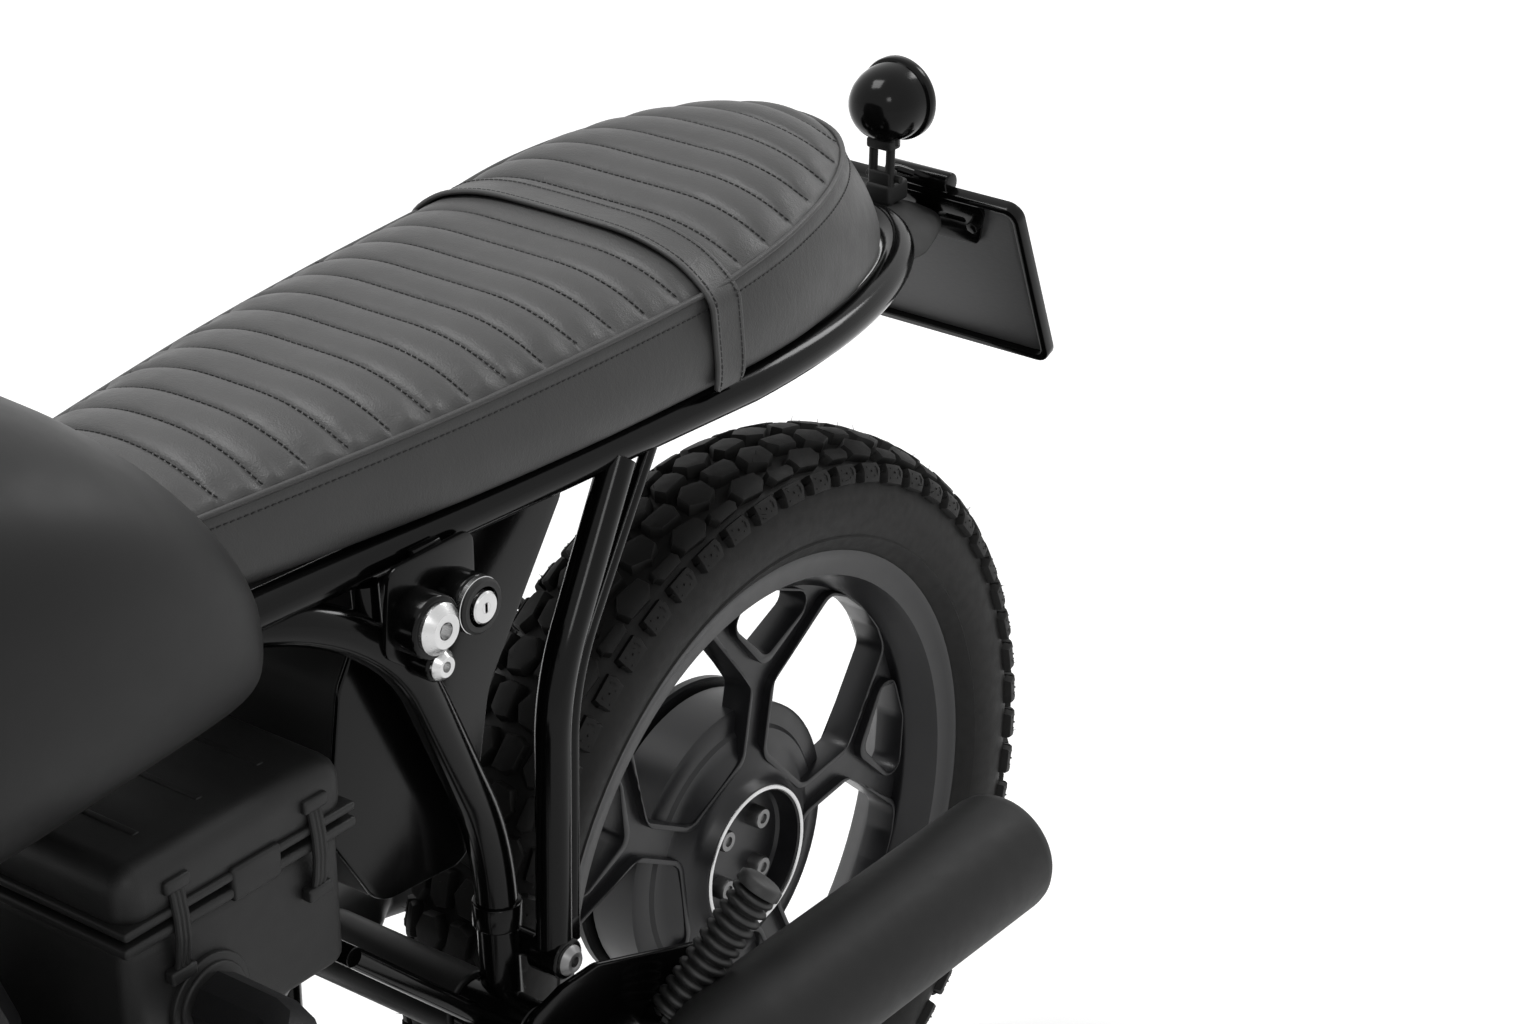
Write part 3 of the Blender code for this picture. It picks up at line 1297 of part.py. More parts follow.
def build_lever(side, name, perch_at, way):
    """A lever with its clamp on the bar. The right one carries the brake's fluid pot."""
    forward = (STEER.to_3x3() @ Vector((-1, 0, -0.25))).normalized()
    blade = [
        perch_at + forward * 0.044,
        perch_at + forward * 0.052 + way * 0.030,
        perch_at + forward * 0.045 + way * 0.150,
    ]
    shapes = [
        rod(perch_at - way * 0.016, perch_at + way * 0.016, 0.018, 10),
        block(perch_at + forward * 0.030, (0.046, 0.022, 0.016), 0.003, Matrix.Rotation(RAKE * 0.5, 4, "Y")),
        tube(bent(blade, 0.02, 2), 0.006, 1),
    ]
    if side > 0:
        pot = perch_at + forward * 0.022
        shapes.append(rod(pot + Vector((0, 0, 0.004)), pot + Vector((0, 0, 0.045)), 0.020, 12))
    bar_way = rod(perch_at - way * 0.03, perch_at + way * 0.03, BAR_RADIUS + 0.0009, 10)
    finished(cut(fused(*shapes), bar_way), name, "satin_black")


def build_speedometer():
    tilt = Matrix.Rotation(RAKE, 4, "Y")
    dial = Matrix.Translation(steer_point(-0.095, 0, 0.128)) @ Matrix.Rotation(RAKE * 0.8, 4, "Y")
    profile = [(0.0, 0.0), (0.020, 0.0), (0.033, 0.008), (0.034, 0.036), (0.031, 0.038), (0.029, 0.035)]
    profile.append((0.0, 0.035))
    clock = turned(profile, 16, dial)
    stalk = block(steer_point(-0.078, 0, 0.1297), (0.050, 0.016, 0.005), 0.001, tilt)
    foot = block(steer_point(-0.058, 0, 0.1253), (0.020, 0.030, 0.0095), 0.001, tilt)
    finished(fused(clock, stalk, foot), "speedometer", "satin_black")


def build_caliper():
    # The caliper straddles the disc behind the left slider
    slant = radians(45)
    out = DISC_RADIUS - 0.0225
    x, z = FRONT_AXLE_X + out * cos(slant), AXLE_LEVEL + out * sin(slant)
    body = block(at(x, DISC_Y, z), (0.060, 0.046, 0.095), 0.008, Matrix.Rotation(-slant, 4, "Y"))
    room = DISC_THICKNESS / 2 + 0.0035
    slot = rod(front_axle(DISC_Y - room), front_axle(DISC_Y + room), DISC_RADIUS + 0.0075, 48)
    ear = rod(at(x - 0.005, DISC_Y - 0.014, z + 0.010), at(x - 0.044, DISC_Y - 0.0295, z + 0.022), 0.010)
    leg = rod(leg_point(-1, -FORK_LENGTH + 0.008), leg_point(-1, -0.20), SLIDER_RADIUS + FIT, 16)
    finished(cut(fused(body, ear), slot, leg), "brake_caliper", "satin_black")


def build_stand():
    foot_x = STAND_X - STAND_FOOT_FORWARD
    pivot_half, leg_half = 0.1125, 0.084
    foot_low, foot_thick = GROUND, 0.012
    shapes = [rod(at(STAND_X, -pivot_half, STAND_Z), at(STAND_X, pivot_half, STAND_Z), 0.0100, 12)]
    for side, _ in SIDES:
        ankle = at(foot_x, side * STAND_FOOT_HALF, foot_low + 0.010)
        shapes.append(rod(at(STAND_X, side * leg_half, STAND_Z), ankle, STAND_TUBE))
        foot_at = at(foot_x, side * STAND_FOOT_HALF, foot_low + foot_thick / 2)
        shapes.append(block(foot_at, (0.080, 0.036, foot_thick)))
    share = 0.6
    brace_half = leg_half + (STAND_FOOT_HALF - leg_half) * share
    brace_z = STAND_Z - (STAND_Z - foot_low - 0.010) * share
    shapes.append(crossbar(STAND_X - STAND_FOOT_FORWARD * share, brace_z, brace_half, 0.009))
    finished(fused(*shapes), "centre_stand", "frame_black")


def hung(name, matrix, pieces, carrier=None):
    """An empty on a joint's axis, with the pieces that move about it. The axis is the empty's local Z."""
    empty = bpy.data.objects.new(name, None)
    COLLECTION.objects.link(empty)
    empty.matrix_world = matrix
    for thing in [COLLECTION.objects[piece] for piece in pieces]:
        thing.parent = empty
        thing.matrix_parent_inverse = matrix.inverted()
    if carrier:
        empty.parent = carrier
        empty.matrix_parent_inverse = carrier.matrix_basis.inverted()
    return empty


def hang_moving_pieces():
    steered = ["lower_clamp", "upper_clamp", "fork_leg_left", "fork_leg_right", "front_axle"]
    steered += ["front_mudguard", "headlight", "headlight_glass", "handlebar", "grip_left", "grip_right"]
    steered += ["clutch_lever", "brake_lever", "speedometer", "brake_caliper"]
    steering = hung("steering_axis", STEER, steered)
    rolling = ["front_rim", "front_tyre", "front_disc"]
    hung("front_wheel_axis", across(FRONT_AXLE_X, AXLE_LEVEL), rolling, steering)
    hung("rear_wheel_axis", across(REAR_AXLE_X, REAR_AXLE_Z), ["rear_rim", "rear_tyre"])
    hung("stand_axis", across(STAND_X, STAND_Z), ["centre_stand"])


def main():
    clear_scene()
    build_wheels()
    build_frame()
    build_subframe()
    build_tank()
    build_seat()
    build_battery_box()
    build_locks()
    build_engine()
    build_exhaust()
    build_swingarm()
    build_shock()
    build_footrests()
    build_tail()
    build_steering()
    build_stand()
    hang_moving_pieces()


main()
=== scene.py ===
# The looks of a custom motorcycle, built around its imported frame. Metres, +Z up, the front is towards -X.
import random
from math import cos, pi, radians, sin, sqrt, tan

import bmesh
import bpy
from mathutils import Matrix, Vector


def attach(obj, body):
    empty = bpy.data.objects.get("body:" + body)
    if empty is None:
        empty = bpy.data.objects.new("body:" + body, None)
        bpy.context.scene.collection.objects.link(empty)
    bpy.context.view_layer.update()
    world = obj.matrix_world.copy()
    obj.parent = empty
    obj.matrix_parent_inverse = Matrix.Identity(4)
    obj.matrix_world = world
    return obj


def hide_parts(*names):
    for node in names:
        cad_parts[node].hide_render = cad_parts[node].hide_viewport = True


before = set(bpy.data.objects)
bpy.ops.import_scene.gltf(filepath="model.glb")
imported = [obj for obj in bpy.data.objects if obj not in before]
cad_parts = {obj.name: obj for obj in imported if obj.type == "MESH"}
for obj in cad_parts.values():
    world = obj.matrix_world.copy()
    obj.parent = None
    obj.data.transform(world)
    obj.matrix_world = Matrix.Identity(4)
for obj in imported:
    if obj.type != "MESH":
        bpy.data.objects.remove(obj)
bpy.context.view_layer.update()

wheelbase = 1.447
rearAxleX = wheelbase / 2  # the parts' places are written from the rear axle, as they were measured
rearAxleZ = 0.338
frontAxleZ = 0.328
print("frame loaded")


# Places and small tools

def at(x, y, z):
    return Vector((x + rearAxleX, y, z))


def onlySelect(thing):
    bpy.ops.object.select_all(action="DESELECT")
    thing.select_set(True)
    bpy.context.view_layer.objects.active = thing


def takeNew(name):
    # the primitive that was just added, under its own name
    made = bpy.context.object
    made.name = name
    made.data.name = name
    return made


def applyPlace(thing):
    onlySelect(thing)
    bpy.ops.object.transform_apply(location=True, rotation=True, scale=True)
    return thing


def moveMesh(thing, matrix):
    thing.data.transform(matrix)
    return thing


def applyModifiers(thing):
    onlySelect(thing)
    for modifier in list(thing.modifiers):
        bpy.ops.object.modifier_apply(modifier=modifier.name)
    return thing


def withModifier(thing, kind, **settings):
    modifier = thing.modifiers.new(kind.lower(), kind)
    for name, value in settings.items():
        setattr(modifier, name, value)
    return applyModifiers(thing)


def bevelled(thing, width, segments=2, angle=50):
    # rounds the edges that turn by more than the angle
    limit = radians(angle)
    return withModifier(thing, "BEVEL", width=width, segments=segments, limit_method="ANGLE",
                        angle_limit=limit)


def cleanMesh(thing, distance=0.00002):
    onlySelect(thing)
    bpy.ops.object.mode_set(mode="EDIT")
    bpy.ops.mesh.select_all(action="SELECT")
    bpy.ops.mesh.remove_doubles(threshold=distance)
    bpy.ops.mesh.normals_make_consistent(inside=False)
    bpy.ops.object.mode_set(mode="OBJECT")
    return thing


def smooth(thing, angle=35):
    onlySelect(thing)
    bpy.ops.object.shade_smooth_by_angle(angle=radians(angle))
    return thing


def joined(things, name):
    bpy.ops.object.select_all(action="DESELECT")
    for thing in things:
        thing.select_set(True)
    bpy.context.view_layer.objects.active = things[0]
    if len(things) > 1:
        bpy.ops.object.join()
    made = bpy.context.object
    made.name = name
    made.data.name = name
    return made


def finishPiece(piece, finish, body, replaces=()):
    piece.data.materials.clear()
    piece.data.materials.append(finish)
    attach(piece, body)
    if replaces:
        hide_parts(*replaces)
    return piece


def finishParts(parts, name, finish, nodes=(), body="chassis", angle=40):
    return finishPiece(smooth(joined(parts, name), angle), finishes[finish], body, nodes)


def latheShape(name, profile, sides, matrix, angle=2 * pi):
    # one vertex is drawn out along the profile of (radius, height), then spun round local Z
    bpy.ops.mesh.primitive_plane_add(size=0.01, location=(0, 0, 0))
    made = takeNew(name)
    bpy.ops.object.mode_set(mode="EDIT")
    bpy.ops.mesh.select_all(action="SELECT")
    bpy.ops.mesh.merge(type="CENTER")
    last = Vector((0, 0, 0))
    for step, (radius, height) in enumerate(profile):
        move = Vector((radius, 0, height)) - last
        if step:
            bpy.ops.mesh.extrude_region_move(TRANSFORM_OT_translate={"value": move})
        else:
            bpy.ops.transform.translate(value=move)
        last = Vector((radius, 0, height))
    bpy.ops.mesh.select_all(action="SELECT")
    bpy.ops.mesh.spin(steps=sides, angle=angle, center=(0, 0, 0), axis=(0, 0, 1))
    bpy.ops.object.mode_set(mode="OBJECT")
    cleanMesh(made)
    return moveMesh(made, matrix)


def roundCorners(points, radius, steps=6):
    # the points of a path whose corners are arcs
    points = [Vector(p) for p in points]
    radii = radius if isinstance(radius, (list, tuple)) else [radius] * (len(points) - 2)
    path = [points[0]]
    for before, corner, after, bend in zip(points, points[1:], points[2:], radii):
        a, b = (before - corner).normalized(), (after - corner).normalized()
        half = a.angle(b) / 2
        reach = min(bend / tan(half), 0.49 * (before - corner).length, 0.49 * (after - corner).length)
        middle = corner + (a + b).normalized() * (reach * tan(half) / sin(half))
        first, last = corner + a * reach - middle, corner + b * reach - middle
        whole = first.angle(last)
        for step in range(steps + 1):
            share = step / steps
            turned = first * sin((1 - share) * whole) + last * sin(share * whole)
            path.append(middle + turned / sin(whole))
    return path + [points[-1]]


def tubeShape(name, path, radius, detail=6, closed=False):
    # a path curve with a round bevel, made a mesh
    bpy.ops.curve.primitive_nurbs_path_add(location=(0, 0, 0))
    made = takeNew(name)
    curve = made.data
    curve.splines.clear()
    spline = curve.splines.new("POLY")
    spline.points.add(len(path) - 1)
    for point, place in zip(spline.points, path):
        point.co = (*place, 1)
    spline.use_cyclic_u = closed
    curve.dimensions = "3D"
    curve.bevel_depth = radius
    curve.bevel_resolution = detail
    curve.use_fill_caps = not closed
    onlySelect(made)
    bpy.ops.object.convert(target="MESH")
    return cleanMesh(bpy.context.object)


def rodShape(name, start, end, radius, sides=32, bevel=0.0):
    start, end = Vector(start), Vector(end)
    line = end - start
    bpy.ops.mesh.primitive_cylinder_add(vertices=sides, radius=radius, depth=line.length,
                                        location=(0, 0, 0))
    made = takeNew(name)
    if bevel:
        bevelled(made, bevel, 3)
    return moveMesh(made, aimed((start + end) / 2, line))


def boxShape(name, size, matrix, bevel=0.001, segments=3):
    bpy.ops.mesh.primitive_cube_add(size=1, location=(0, 0, 0))
    made = takeNew(name)
    made.scale = size
    applyPlace(made)
    if bevel:
        withModifier(made, "BEVEL", width=bevel, segments=segments)
    return moveMesh(made, matrix)


def boxAt(name, size, place, bevel=0.001, segments=3):
    return boxShape(name, size, Matrix.Translation(at(*place)), bevel, segments)


def crossRod(name, x, z, startY, endY, radius, sides=32, bevel=0.0):
    return rodShape(name, at(x, startY, z), at(x, endY, z), radius, sides, bevel=bevel)


def panelShape(name, outline, thickness, matrix, bevel=0.0008):
    # a filled ring of vertices on local XY, pulled to the outline, extruded and bevelled
    bpy.ops.mesh.primitive_circle_add(vertices=len(outline), fill_type="NGON", location=(0, 0, 0))
    made = takeNew(name)
    for vertex, (x, y) in zip(made.data.vertices, outline):
        vertex.co = (x, y, -thickness / 2)
    bpy.ops.object.mode_set(mode="EDIT")
    bpy.ops.mesh.select_all(action="SELECT")
    bpy.ops.mesh.extrude_region_move(TRANSFORM_OT_translate={"value": (0, 0, thickness)})
    bpy.ops.object.mode_set(mode="OBJECT")
    cleanMesh(made)
    if bevel:
        bevelled(made, bevel)
    return moveMesh(made, matrix)


def roundOutline(corners, radius, steps=5):
    loop = [Vector((*c, 0)) for c in corners]
    radii = radius if isinstance(radius, (list, tuple)) else [radius] * len(loop)
    outline = []
    for i, corner in enumerate(loop):
        arc = roundCorners([loop[i - 1], corner, loop[(i + 1) % len(loop)]], [radii[i]], steps)
        outline += [(p.x, p.y) for p in arc[1:-1]]
    return outline


def sidePlane(y):
    # local X along the machine, counted from the rear axle, and local Y up
    return Matrix.Translation(at(0, y, 0)) @ Matrix.Rotation(pi / 2, 4, "X")


def facingBack(x, y, z):
    # local Z towards the tail, at that point
    return Matrix.Translation(at(x, y, z)) @ Matrix.Rotation(pi / 2, 4, "Y")


def aimed(place, line):
    # local Z along the line, at that place
    return Matrix.Translation(place) @ line.to_track_quat("Z", "Y").to_matrix().to_4x4()


def across(x, z, y=0.0):
    # local Z along +Y, at that point
    return Matrix.Translation(at(x, y, z)) @ Matrix.Rotation(-pi / 2, 4, "X")


def shapeObject(name, shape):
    # the bmesh as an object of its own, with its faces out
    bmesh.ops.recalc_face_normals(shape, faces=shape.faces)
    mesh = bpy.data.meshes.new(name)
    shape.to_mesh(mesh)
    shape.free()
    made = bpy.data.objects.new(name, mesh)
    bpy.context.scene.collection.objects.link(made)
    return made


def skin(shape, rings, closed=True):
    # a quad between each two neighbours of each two rings
    for one, two in zip(rings, rings[1:]):
        for i in range(len(one) if closed else len(one) - 1):
            j = (i + 1) % len(one)
            shape.faces.new((one[i], one[j], two[j], two[i]))


def stampCopies(name, template, matrices):
    # one mesh that holds a copy of the template at each matrix
    vertices = [v.co.copy() for v in template.data.vertices]
    faces = [tuple(p.vertices) for p in template.data.polygons]
    allVertices, allFaces = [], []
    for matrix in matrices:
        base = len(allVertices)
        allVertices += [matrix @ v for v in vertices]
        allFaces += [tuple(base + i for i in face) for face in faces]
    mesh = bpy.data.meshes.new(name)
    mesh.from_pydata(allVertices, [], allFaces)
    made = bpy.data.objects.new(name, mesh)
    bpy.context.scene.collection.objects.link(made)
    bpy.data.objects.remove(template)
    return made


def softenedCopy(nodeName, bevel=0.0012, angle=38):
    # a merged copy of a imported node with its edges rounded
    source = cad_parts[nodeName]
    made = source.copy()
    made.data = source.data.copy()
    made.parent = None
    made.name = "shown_" + nodeName
    for key in list(made.keys()):
        del made[key]
    bpy.context.scene.collection.objects.link(made)
    onlySelect(made)
    bpy.ops.object.mode_set(mode="EDIT")
    bpy.ops.mesh.select_all(action="SELECT")
    bpy.ops.mesh.remove_doubles(threshold=0.00002)
    bpy.ops.mesh.dissolve_limited(angle_limit=radians(1))
    bpy.ops.object.mode_set(mode="OBJECT")
    if bevel:
        bevelled(made, bevel, angle=angle)
    return smooth(made, angle)


# Shader maths: a socket that takes part in Python sums

class Wire:
    def __init__(self, sheet, socket):
        self.sheet = sheet
        self.socket = socket

    def sum(self, operation, first, second):
        return self.sheet.node("Math", {"operation": operation}, {0: first, 1: second})

    def __add__(self, other):
        return self.sum("ADD", self, other)

    __radd__ = __add__

    def __mul__(self, other):
        return self.sum("MULTIPLY", self, other)

    __rmul__ = __mul__



class Finish:
    def __init__(self, name, colour, roughness, metallic=0.0, **fixed):
        self.material = bpy.data.materials.new(name)
        self.material.use_nodes = True
        self.tree = self.material.node_tree
        self.shader = self.tree.nodes["Principled BSDF"]
        self.feed("Base Color", (*colour, 1))
        self.feed("Roughness", roughness)
        self.feed("Metallic", metallic)
        for socket, value in fixed.items():
            self.feed(socket.replace("_", " "), value)

    def node(self, kind, settings=None, inputs=None, output=0):
        made = self.tree.nodes.new("ShaderNode" + kind)
        for name, value in (settings or {}).items():
            if name == "stops":
                for element, (place, colour) in zip(made.color_ramp.elements, value):
                    element.position = place
                    element.color = colour
            else:
                setattr(made, name, value)
        for key, value in (inputs or {}).items():
            if isinstance(value, Wire):
                self.tree.links.new(value.socket, made.inputs[key])
            else:
                made.inputs[key].default_value = value
        return Wire(self, made.outputs[output])

    def feed(self, socket, value):
        if isinstance(value, Wire):
            self.tree.links.new(value.socket, self.shader.inputs[socket])
        else:
            self.shader.inputs[socket].default_value = value

    def place(self, scale=(1, 1, 1)):
        spot = self.node("TexCoord", output=3)
        return self.node("Mapping", {}, {"Vector": spot, "Scale": scale})

    def noise(self, scale, detail=3.0, roughness=0.5, stretch=(1, 1, 1)):
        inputs = {"Vector": self.place(stretch), "Scale": scale, "Detail": detail, "Roughness": roughness}
        return self.node("TexNoise", {}, inputs)

    def cells(self, scale, stretch=(1, 1, 1)):
        inputs = {"Vector": self.place(stretch), "Scale": scale}
        return self.node("TexVoronoi", {}, inputs)

    def mix(self, share, dark, light):
        inputs = {0: share, 6: (*dark, 1), 7: (*light, 1)}
        return self.node("Mix", {"data_type": "RGBA"}, inputs, output=2)

    def bump(self, height, distance, strength=1.0, over=None):
        inputs = {"Height": height, "Distance": distance, "Strength": strength}
        if over is not None:
            inputs["Normal"] = over
        return self.node("Bump", {}, inputs)


def spread(wire, low, high):
    # a noise value in its middle range, brought to low ... high
    return wire * (high - low) + low


def glossPaint():
    made = Finish("glossPaint", (0.003, 0.003, 0.003), 0.1, Specular_IOR_Level=0.16)
    made.feed("Roughness", spread(made.noise(28, 2), 0.10, 0.2))
    made.feed("Normal", made.bump(made.noise(420, 2), 0.00003, 0.5))
    return made.material


def satinPaint():
    made = Finish("satinPaint", (0.014, 0.014, 0.014), 0.45, Specular_IOR_Level=0.2)
    cloud = made.noise(9, 3)
    made.feed("Base Color", made.mix(cloud, (0.011, 0.011, 0.011), (0.015, 0.015, 0.015)))
    made.feed("Roughness", spread(made.noise(60, 4), 0.40, 0.50))
    made.feed("Normal", made.bump(made.noise(2600, 2), 0.00002, 0.6))
    return made.material


def mattePowder(name="mattePowder", grain=1500, tone=0.016):
    made = Finish(name, (tone, tone, tone), 0.55, Specular_IOR_Level=0.22)
    made.feed("Base Color", made.mix(made.noise(14, 3), (tone * 0.85,) * 3, (tone * 1.2,) * 3))
    made.feed("Roughness", spread(made.noise(90, 4), 0.48, 0.62))
    made.feed("Normal", made.bump(made.noise(grain, 3), 0.00006, 0.7))
    return made.material


def wheelPaint():
    made = Finish("wheelPaint", (0.008, 0.008, 0.008), 0.3, Specular_IOR_Level=0.35)
    made.feed("Base Color", made.mix(made.noise(20, 3), (0.011, 0.011, 0.012), (0.018, 0.018, 0.020)))
    made.feed("Roughness", spread(made.noise(70, 3), 0.26, 0.40))
    made.feed("Normal", made.bump(made.noise(900, 3), 0.00006, 0.6))
    return made.material


def castBlack():
    made = Finish("castBlack", (0.018, 0.018, 0.019), 0.42, 0.0, Specular_IOR_Level=0.28)
    skin = made.noise(700, 4, 0.65)
    made.feed("Base Color", made.mix(made.noise(22, 4), (0.014, 0.014, 0.015), (0.024, 0.024, 0.025)))
    made.feed("Roughness", spread(made.noise(45, 3), 0.34, 0.5))
    made.feed("Normal", made.bump(skin, 0.00018, 0.8))
    return made.material


def blackPlastic():
    made = Finish("blackPlastic", (0.014, 0.014, 0.014), 0.5, Specular_IOR_Level=0.3)
    grain = made.cells(1400)
    made.feed("Roughness", spread(made.noise(70, 3), 0.42, 0.56))
    made.feed("Base Color", made.mix(made.noise(30, 3), (0.011, 0.011, 0.011), (0.018, 0.018, 0.018)))
    made.feed("Normal", made.bump(grain, 0.00010, 0.6))
    return made.material


def tyreRubber():
    made = Finish("tyreRubber", (0.016, 0.016, 0.016), 0.6, Specular_IOR_Level=0.2)
    dust = made.noise(26, 5, 0.6)
    made.feed("Base Color", made.mix(dust, (0.006, 0.006, 0.006), (0.016, 0.0155, 0.015)))
    made.feed("Roughness", spread(made.noise(120, 4), 0.48, 0.72))
    made.feed("Normal", made.bump(made.noise(900, 4, 0.6), 0.00012, 0.8))
    return made.material


def softRubber():
    made = Finish("softRubber", (0.012, 0.012, 0.012), 0.5, Specular_IOR_Level=0.5)
    made.feed("Roughness", spread(made.noise(80, 4), 0.4, 0.58))
    made.feed("Normal", made.bump(made.noise(1200, 3), 0.00006, 0.7))
    return made.material


def brightSteel(name="brightSteel", tone=0.62, rough=0.22):
    made = Finish(name, (tone, tone * 0.985, tone * 0.96), rough, 1.0)
    brushed = made.noise(260, 4, 0.6, (1, 1, 6))
    made.feed("Roughness", spread(brushed, rough * 0.8, rough * 1.5))
    made.feed("Base Color", made.mix(made.noise(60, 3), (tone * 0.8,) * 3, (tone * 1.08,) * 3))
    made.feed("Normal", made.bump(brushed, 0.00003, 0.5))
    return made.material


def lensGlass():
    made = Finish("lensGlass", (0.75, 0.77, 0.78), 0.06, Coat_Weight=0.6, Coat_Roughness=0.03)
    flutes = made.node("TexWave", {"bands_direction": "Y"},
                       {"Vector": made.place(), "Scale": 30.0, "Distortion": 0.0})
    made.feed("Base Color", made.mix(flutes, (0.40, 0.42, 0.43), (0.78, 0.80, 0.81)))
    made.feed("Normal", made.bump(flutes, 0.0008, 0.6))
    return made.material


def plateMetal():
    made = Finish("plateMetal", (0.10, 0.10, 0.10), 0.5, 0.4)
    brushed = made.noise(180, 4, 0.6, (1, 1, 5))
    made.feed("Base Color", made.mix(brushed, (0.075, 0.075, 0.076), (0.13, 0.13, 0.131)))
    made.feed("Roughness", spread(brushed, 0.42, 0.6))
    made.feed("Normal", made.bump(made.noise(900, 3), 0.00004, 0.5))
    return made.material


def leather():
    made = Finish("leather", (0.055, 0.055, 0.055), 0.42, Specular_IOR_Level=0.38)
    pores = made.cells(850, (1, 1, 1))
    creases = made.noise(160, 5, 0.65, (1.6, 0.7, 1))
    cloud = made.noise(18, 4, 0.6)
    made.feed("Base Color", made.mix(cloud, (0.048, 0.048, 0.048), (0.071, 0.0705, 0.070)))
    made.feed("Roughness", spread(made.noise(55, 4), 0.36, 0.56))
    fine = made.bump(pores, 0.00022, 0.55)
    made.feed("Normal", made.bump(creases, 0.0006, 0.55, fine))
    return made.material


def thread():
    made = Finish("thread", (0.010, 0.010, 0.010), 0.55)
    twist = made.node("TexWave", {"bands_direction": "DIAGONAL"},
                      {"Vector": made.place(), "Scale": 900.0})
    made.feed("Base Color", made.mix(twist, (0.006, 0.006, 0.006), (0.018, 0.018, 0.018)))
    made.feed("Normal", made.bump(twist, 0.0001, 0.5))
    return made.material


finishes = {
    "gloss": glossPaint(),
    "satin": satinPaint(),
    "matte": mattePowder(),
    "wheelPaint": wheelPaint(),
    "cast": castBlack(),
    "plastic": blackPlastic(),
    "tyre": tyreRubber(),
    "rubber": softRubber(),
    "steel": brightSteel(),
    "darkSteel": brightSteel("darkSteel", 0.2, 0.35),
    "glass": lensGlass(),
    "plate": plateMetal(),
    "leather": leather(),
    "thread": thread(),
}
print("finishes made")



# Tyres: a turned carcass with three rows of lugs on each side

tyre = {
    "radius": 0.328,
    "treadDepth": 0.0085,
    "pitches": 30,
    "firstAngle": radians(4),
    # radius below the lug tips and distance from the middle, along the outside of the lugs
    "envelope": [(0.0, 0.0), (0.0003, 0.012), (0.003, 0.026), (0.009, 0.040), (0.020, 0.052),
                 (0.038, 0.0562), (0.052, 0.0562)],
    "carcass": [(0.0085, 0.0), (0.0090, 0.014), (0.0120, 0.028), (0.0185, 0.0400), (0.0280, 0.0475),
                (0.0400, 0.0515), (0.0540, 0.0520), (0.0660, 0.0495), (0.0705, 0.0475), (0.0720, 0.0485),
                (0.0745, 0.0470), (0.0800, 0.0425), (0.0825, 0.0400), (0.0845, 0.0385), (0.0855, 0.0350)],
    # outlines in millimetres: along the tyre, then out from its middle line
    "crownLug": [(0, 0.5), (14, 8), (16, 22), (1, 31), (-14, 24), (-16, 9)],
    "middleLug": [(-17, 29), (6, 24), (18, 33), (16, 45), (-8, 48), (-18, 39)],
    "shoulderLug": [(-13.5, 50), (12, 50), (13.5, 56), (12.5, 68), (-12.5, 68), (-14.5, 56)],
    "innerLug": [(-15, 3), (13, 1), (15, 11), (10, 20), (-11, 22), (-16, 12)],
    "outerLug": [(-14, 36), (12, 34), (14.5, 39), (11, 47), (-13, 47), (-16, 41)],
    "dots": [(-7, 55), (6, 55.5), (-4, 62), (7, 63), (0.5, 58.5)],
    "hairs": 170,
    "seed": 7,
}


def envelopePoint(out, height):
    # radius and y at that distance from the middle line, raised by height along the normal
    table = tyre["envelope"]
    gone = 0.0
    for (dropA, yA), (dropB, yB) in zip(table, table[1:]):
        length = sqrt((dropB - dropA) ** 2 + (yB - yA) ** 2)
        if out <= gone + length or (dropB, yB) == table[-1]:
            share = (out - gone) / length
            normalR, normalY = (yB - yA) / length, (dropB - dropA) / length
            radius = tyre["radius"] - (dropA + (dropB - dropA) * share) + normalR * height
            return radius, yA + (yB - yA) * share + normalY * height
        gone += length


def wrapped(along, out, height, angle, side):
    radius, y = envelopePoint(out / 1000, height)
    turn = angle + along / 1000 / tyre["radius"]
    return Vector((radius * cos(turn), y * side, radius * sin(turn)))


def refined(outline, parts=3):
    points = []
    for (a, b), (c, d) in zip(outline, outline[1:] + outline[:1]):
        points += [(a + (c - a) * i / parts, b + (d - b) * i / parts) for i in range(parts)]
    return points


def scaledOutline(outline, inset):
    # the outline drawn in towards its middle by about that many millimetres
    middleA = sum(p[0] for p in outline) / len(outline)
    middleB = sum(p[1] for p in outline) / len(outline)
    points = []
    for a, b in outline:
        away = sqrt((a - middleA) ** 2 + (b - middleB) ** 2)
        share = 1 - inset / away
        points.append((middleA + (a - middleA) * share, middleB + (b - middleB) * share))
    return points


def addLug(shape, outline, angle, side):
    # base, wall, chamfer and top rings, then a fan over the top
    levels = [(0.2, -tyre["treadDepth"] - 0.002), (1.7, -0.0012), (2.7, 0.0), (6.5, 0.0002)]
    rings = []
    for inset, height in levels:
        ring = [shape.verts.new(wrapped(a, b, height, angle, side))
                for a, b in refined(scaledOutline(outline, inset))]
        rings.append(ring)
    skin(shape, rings)
    shape.faces.new(rings[-1])
    shape.faces.new(rings[0][::-1])


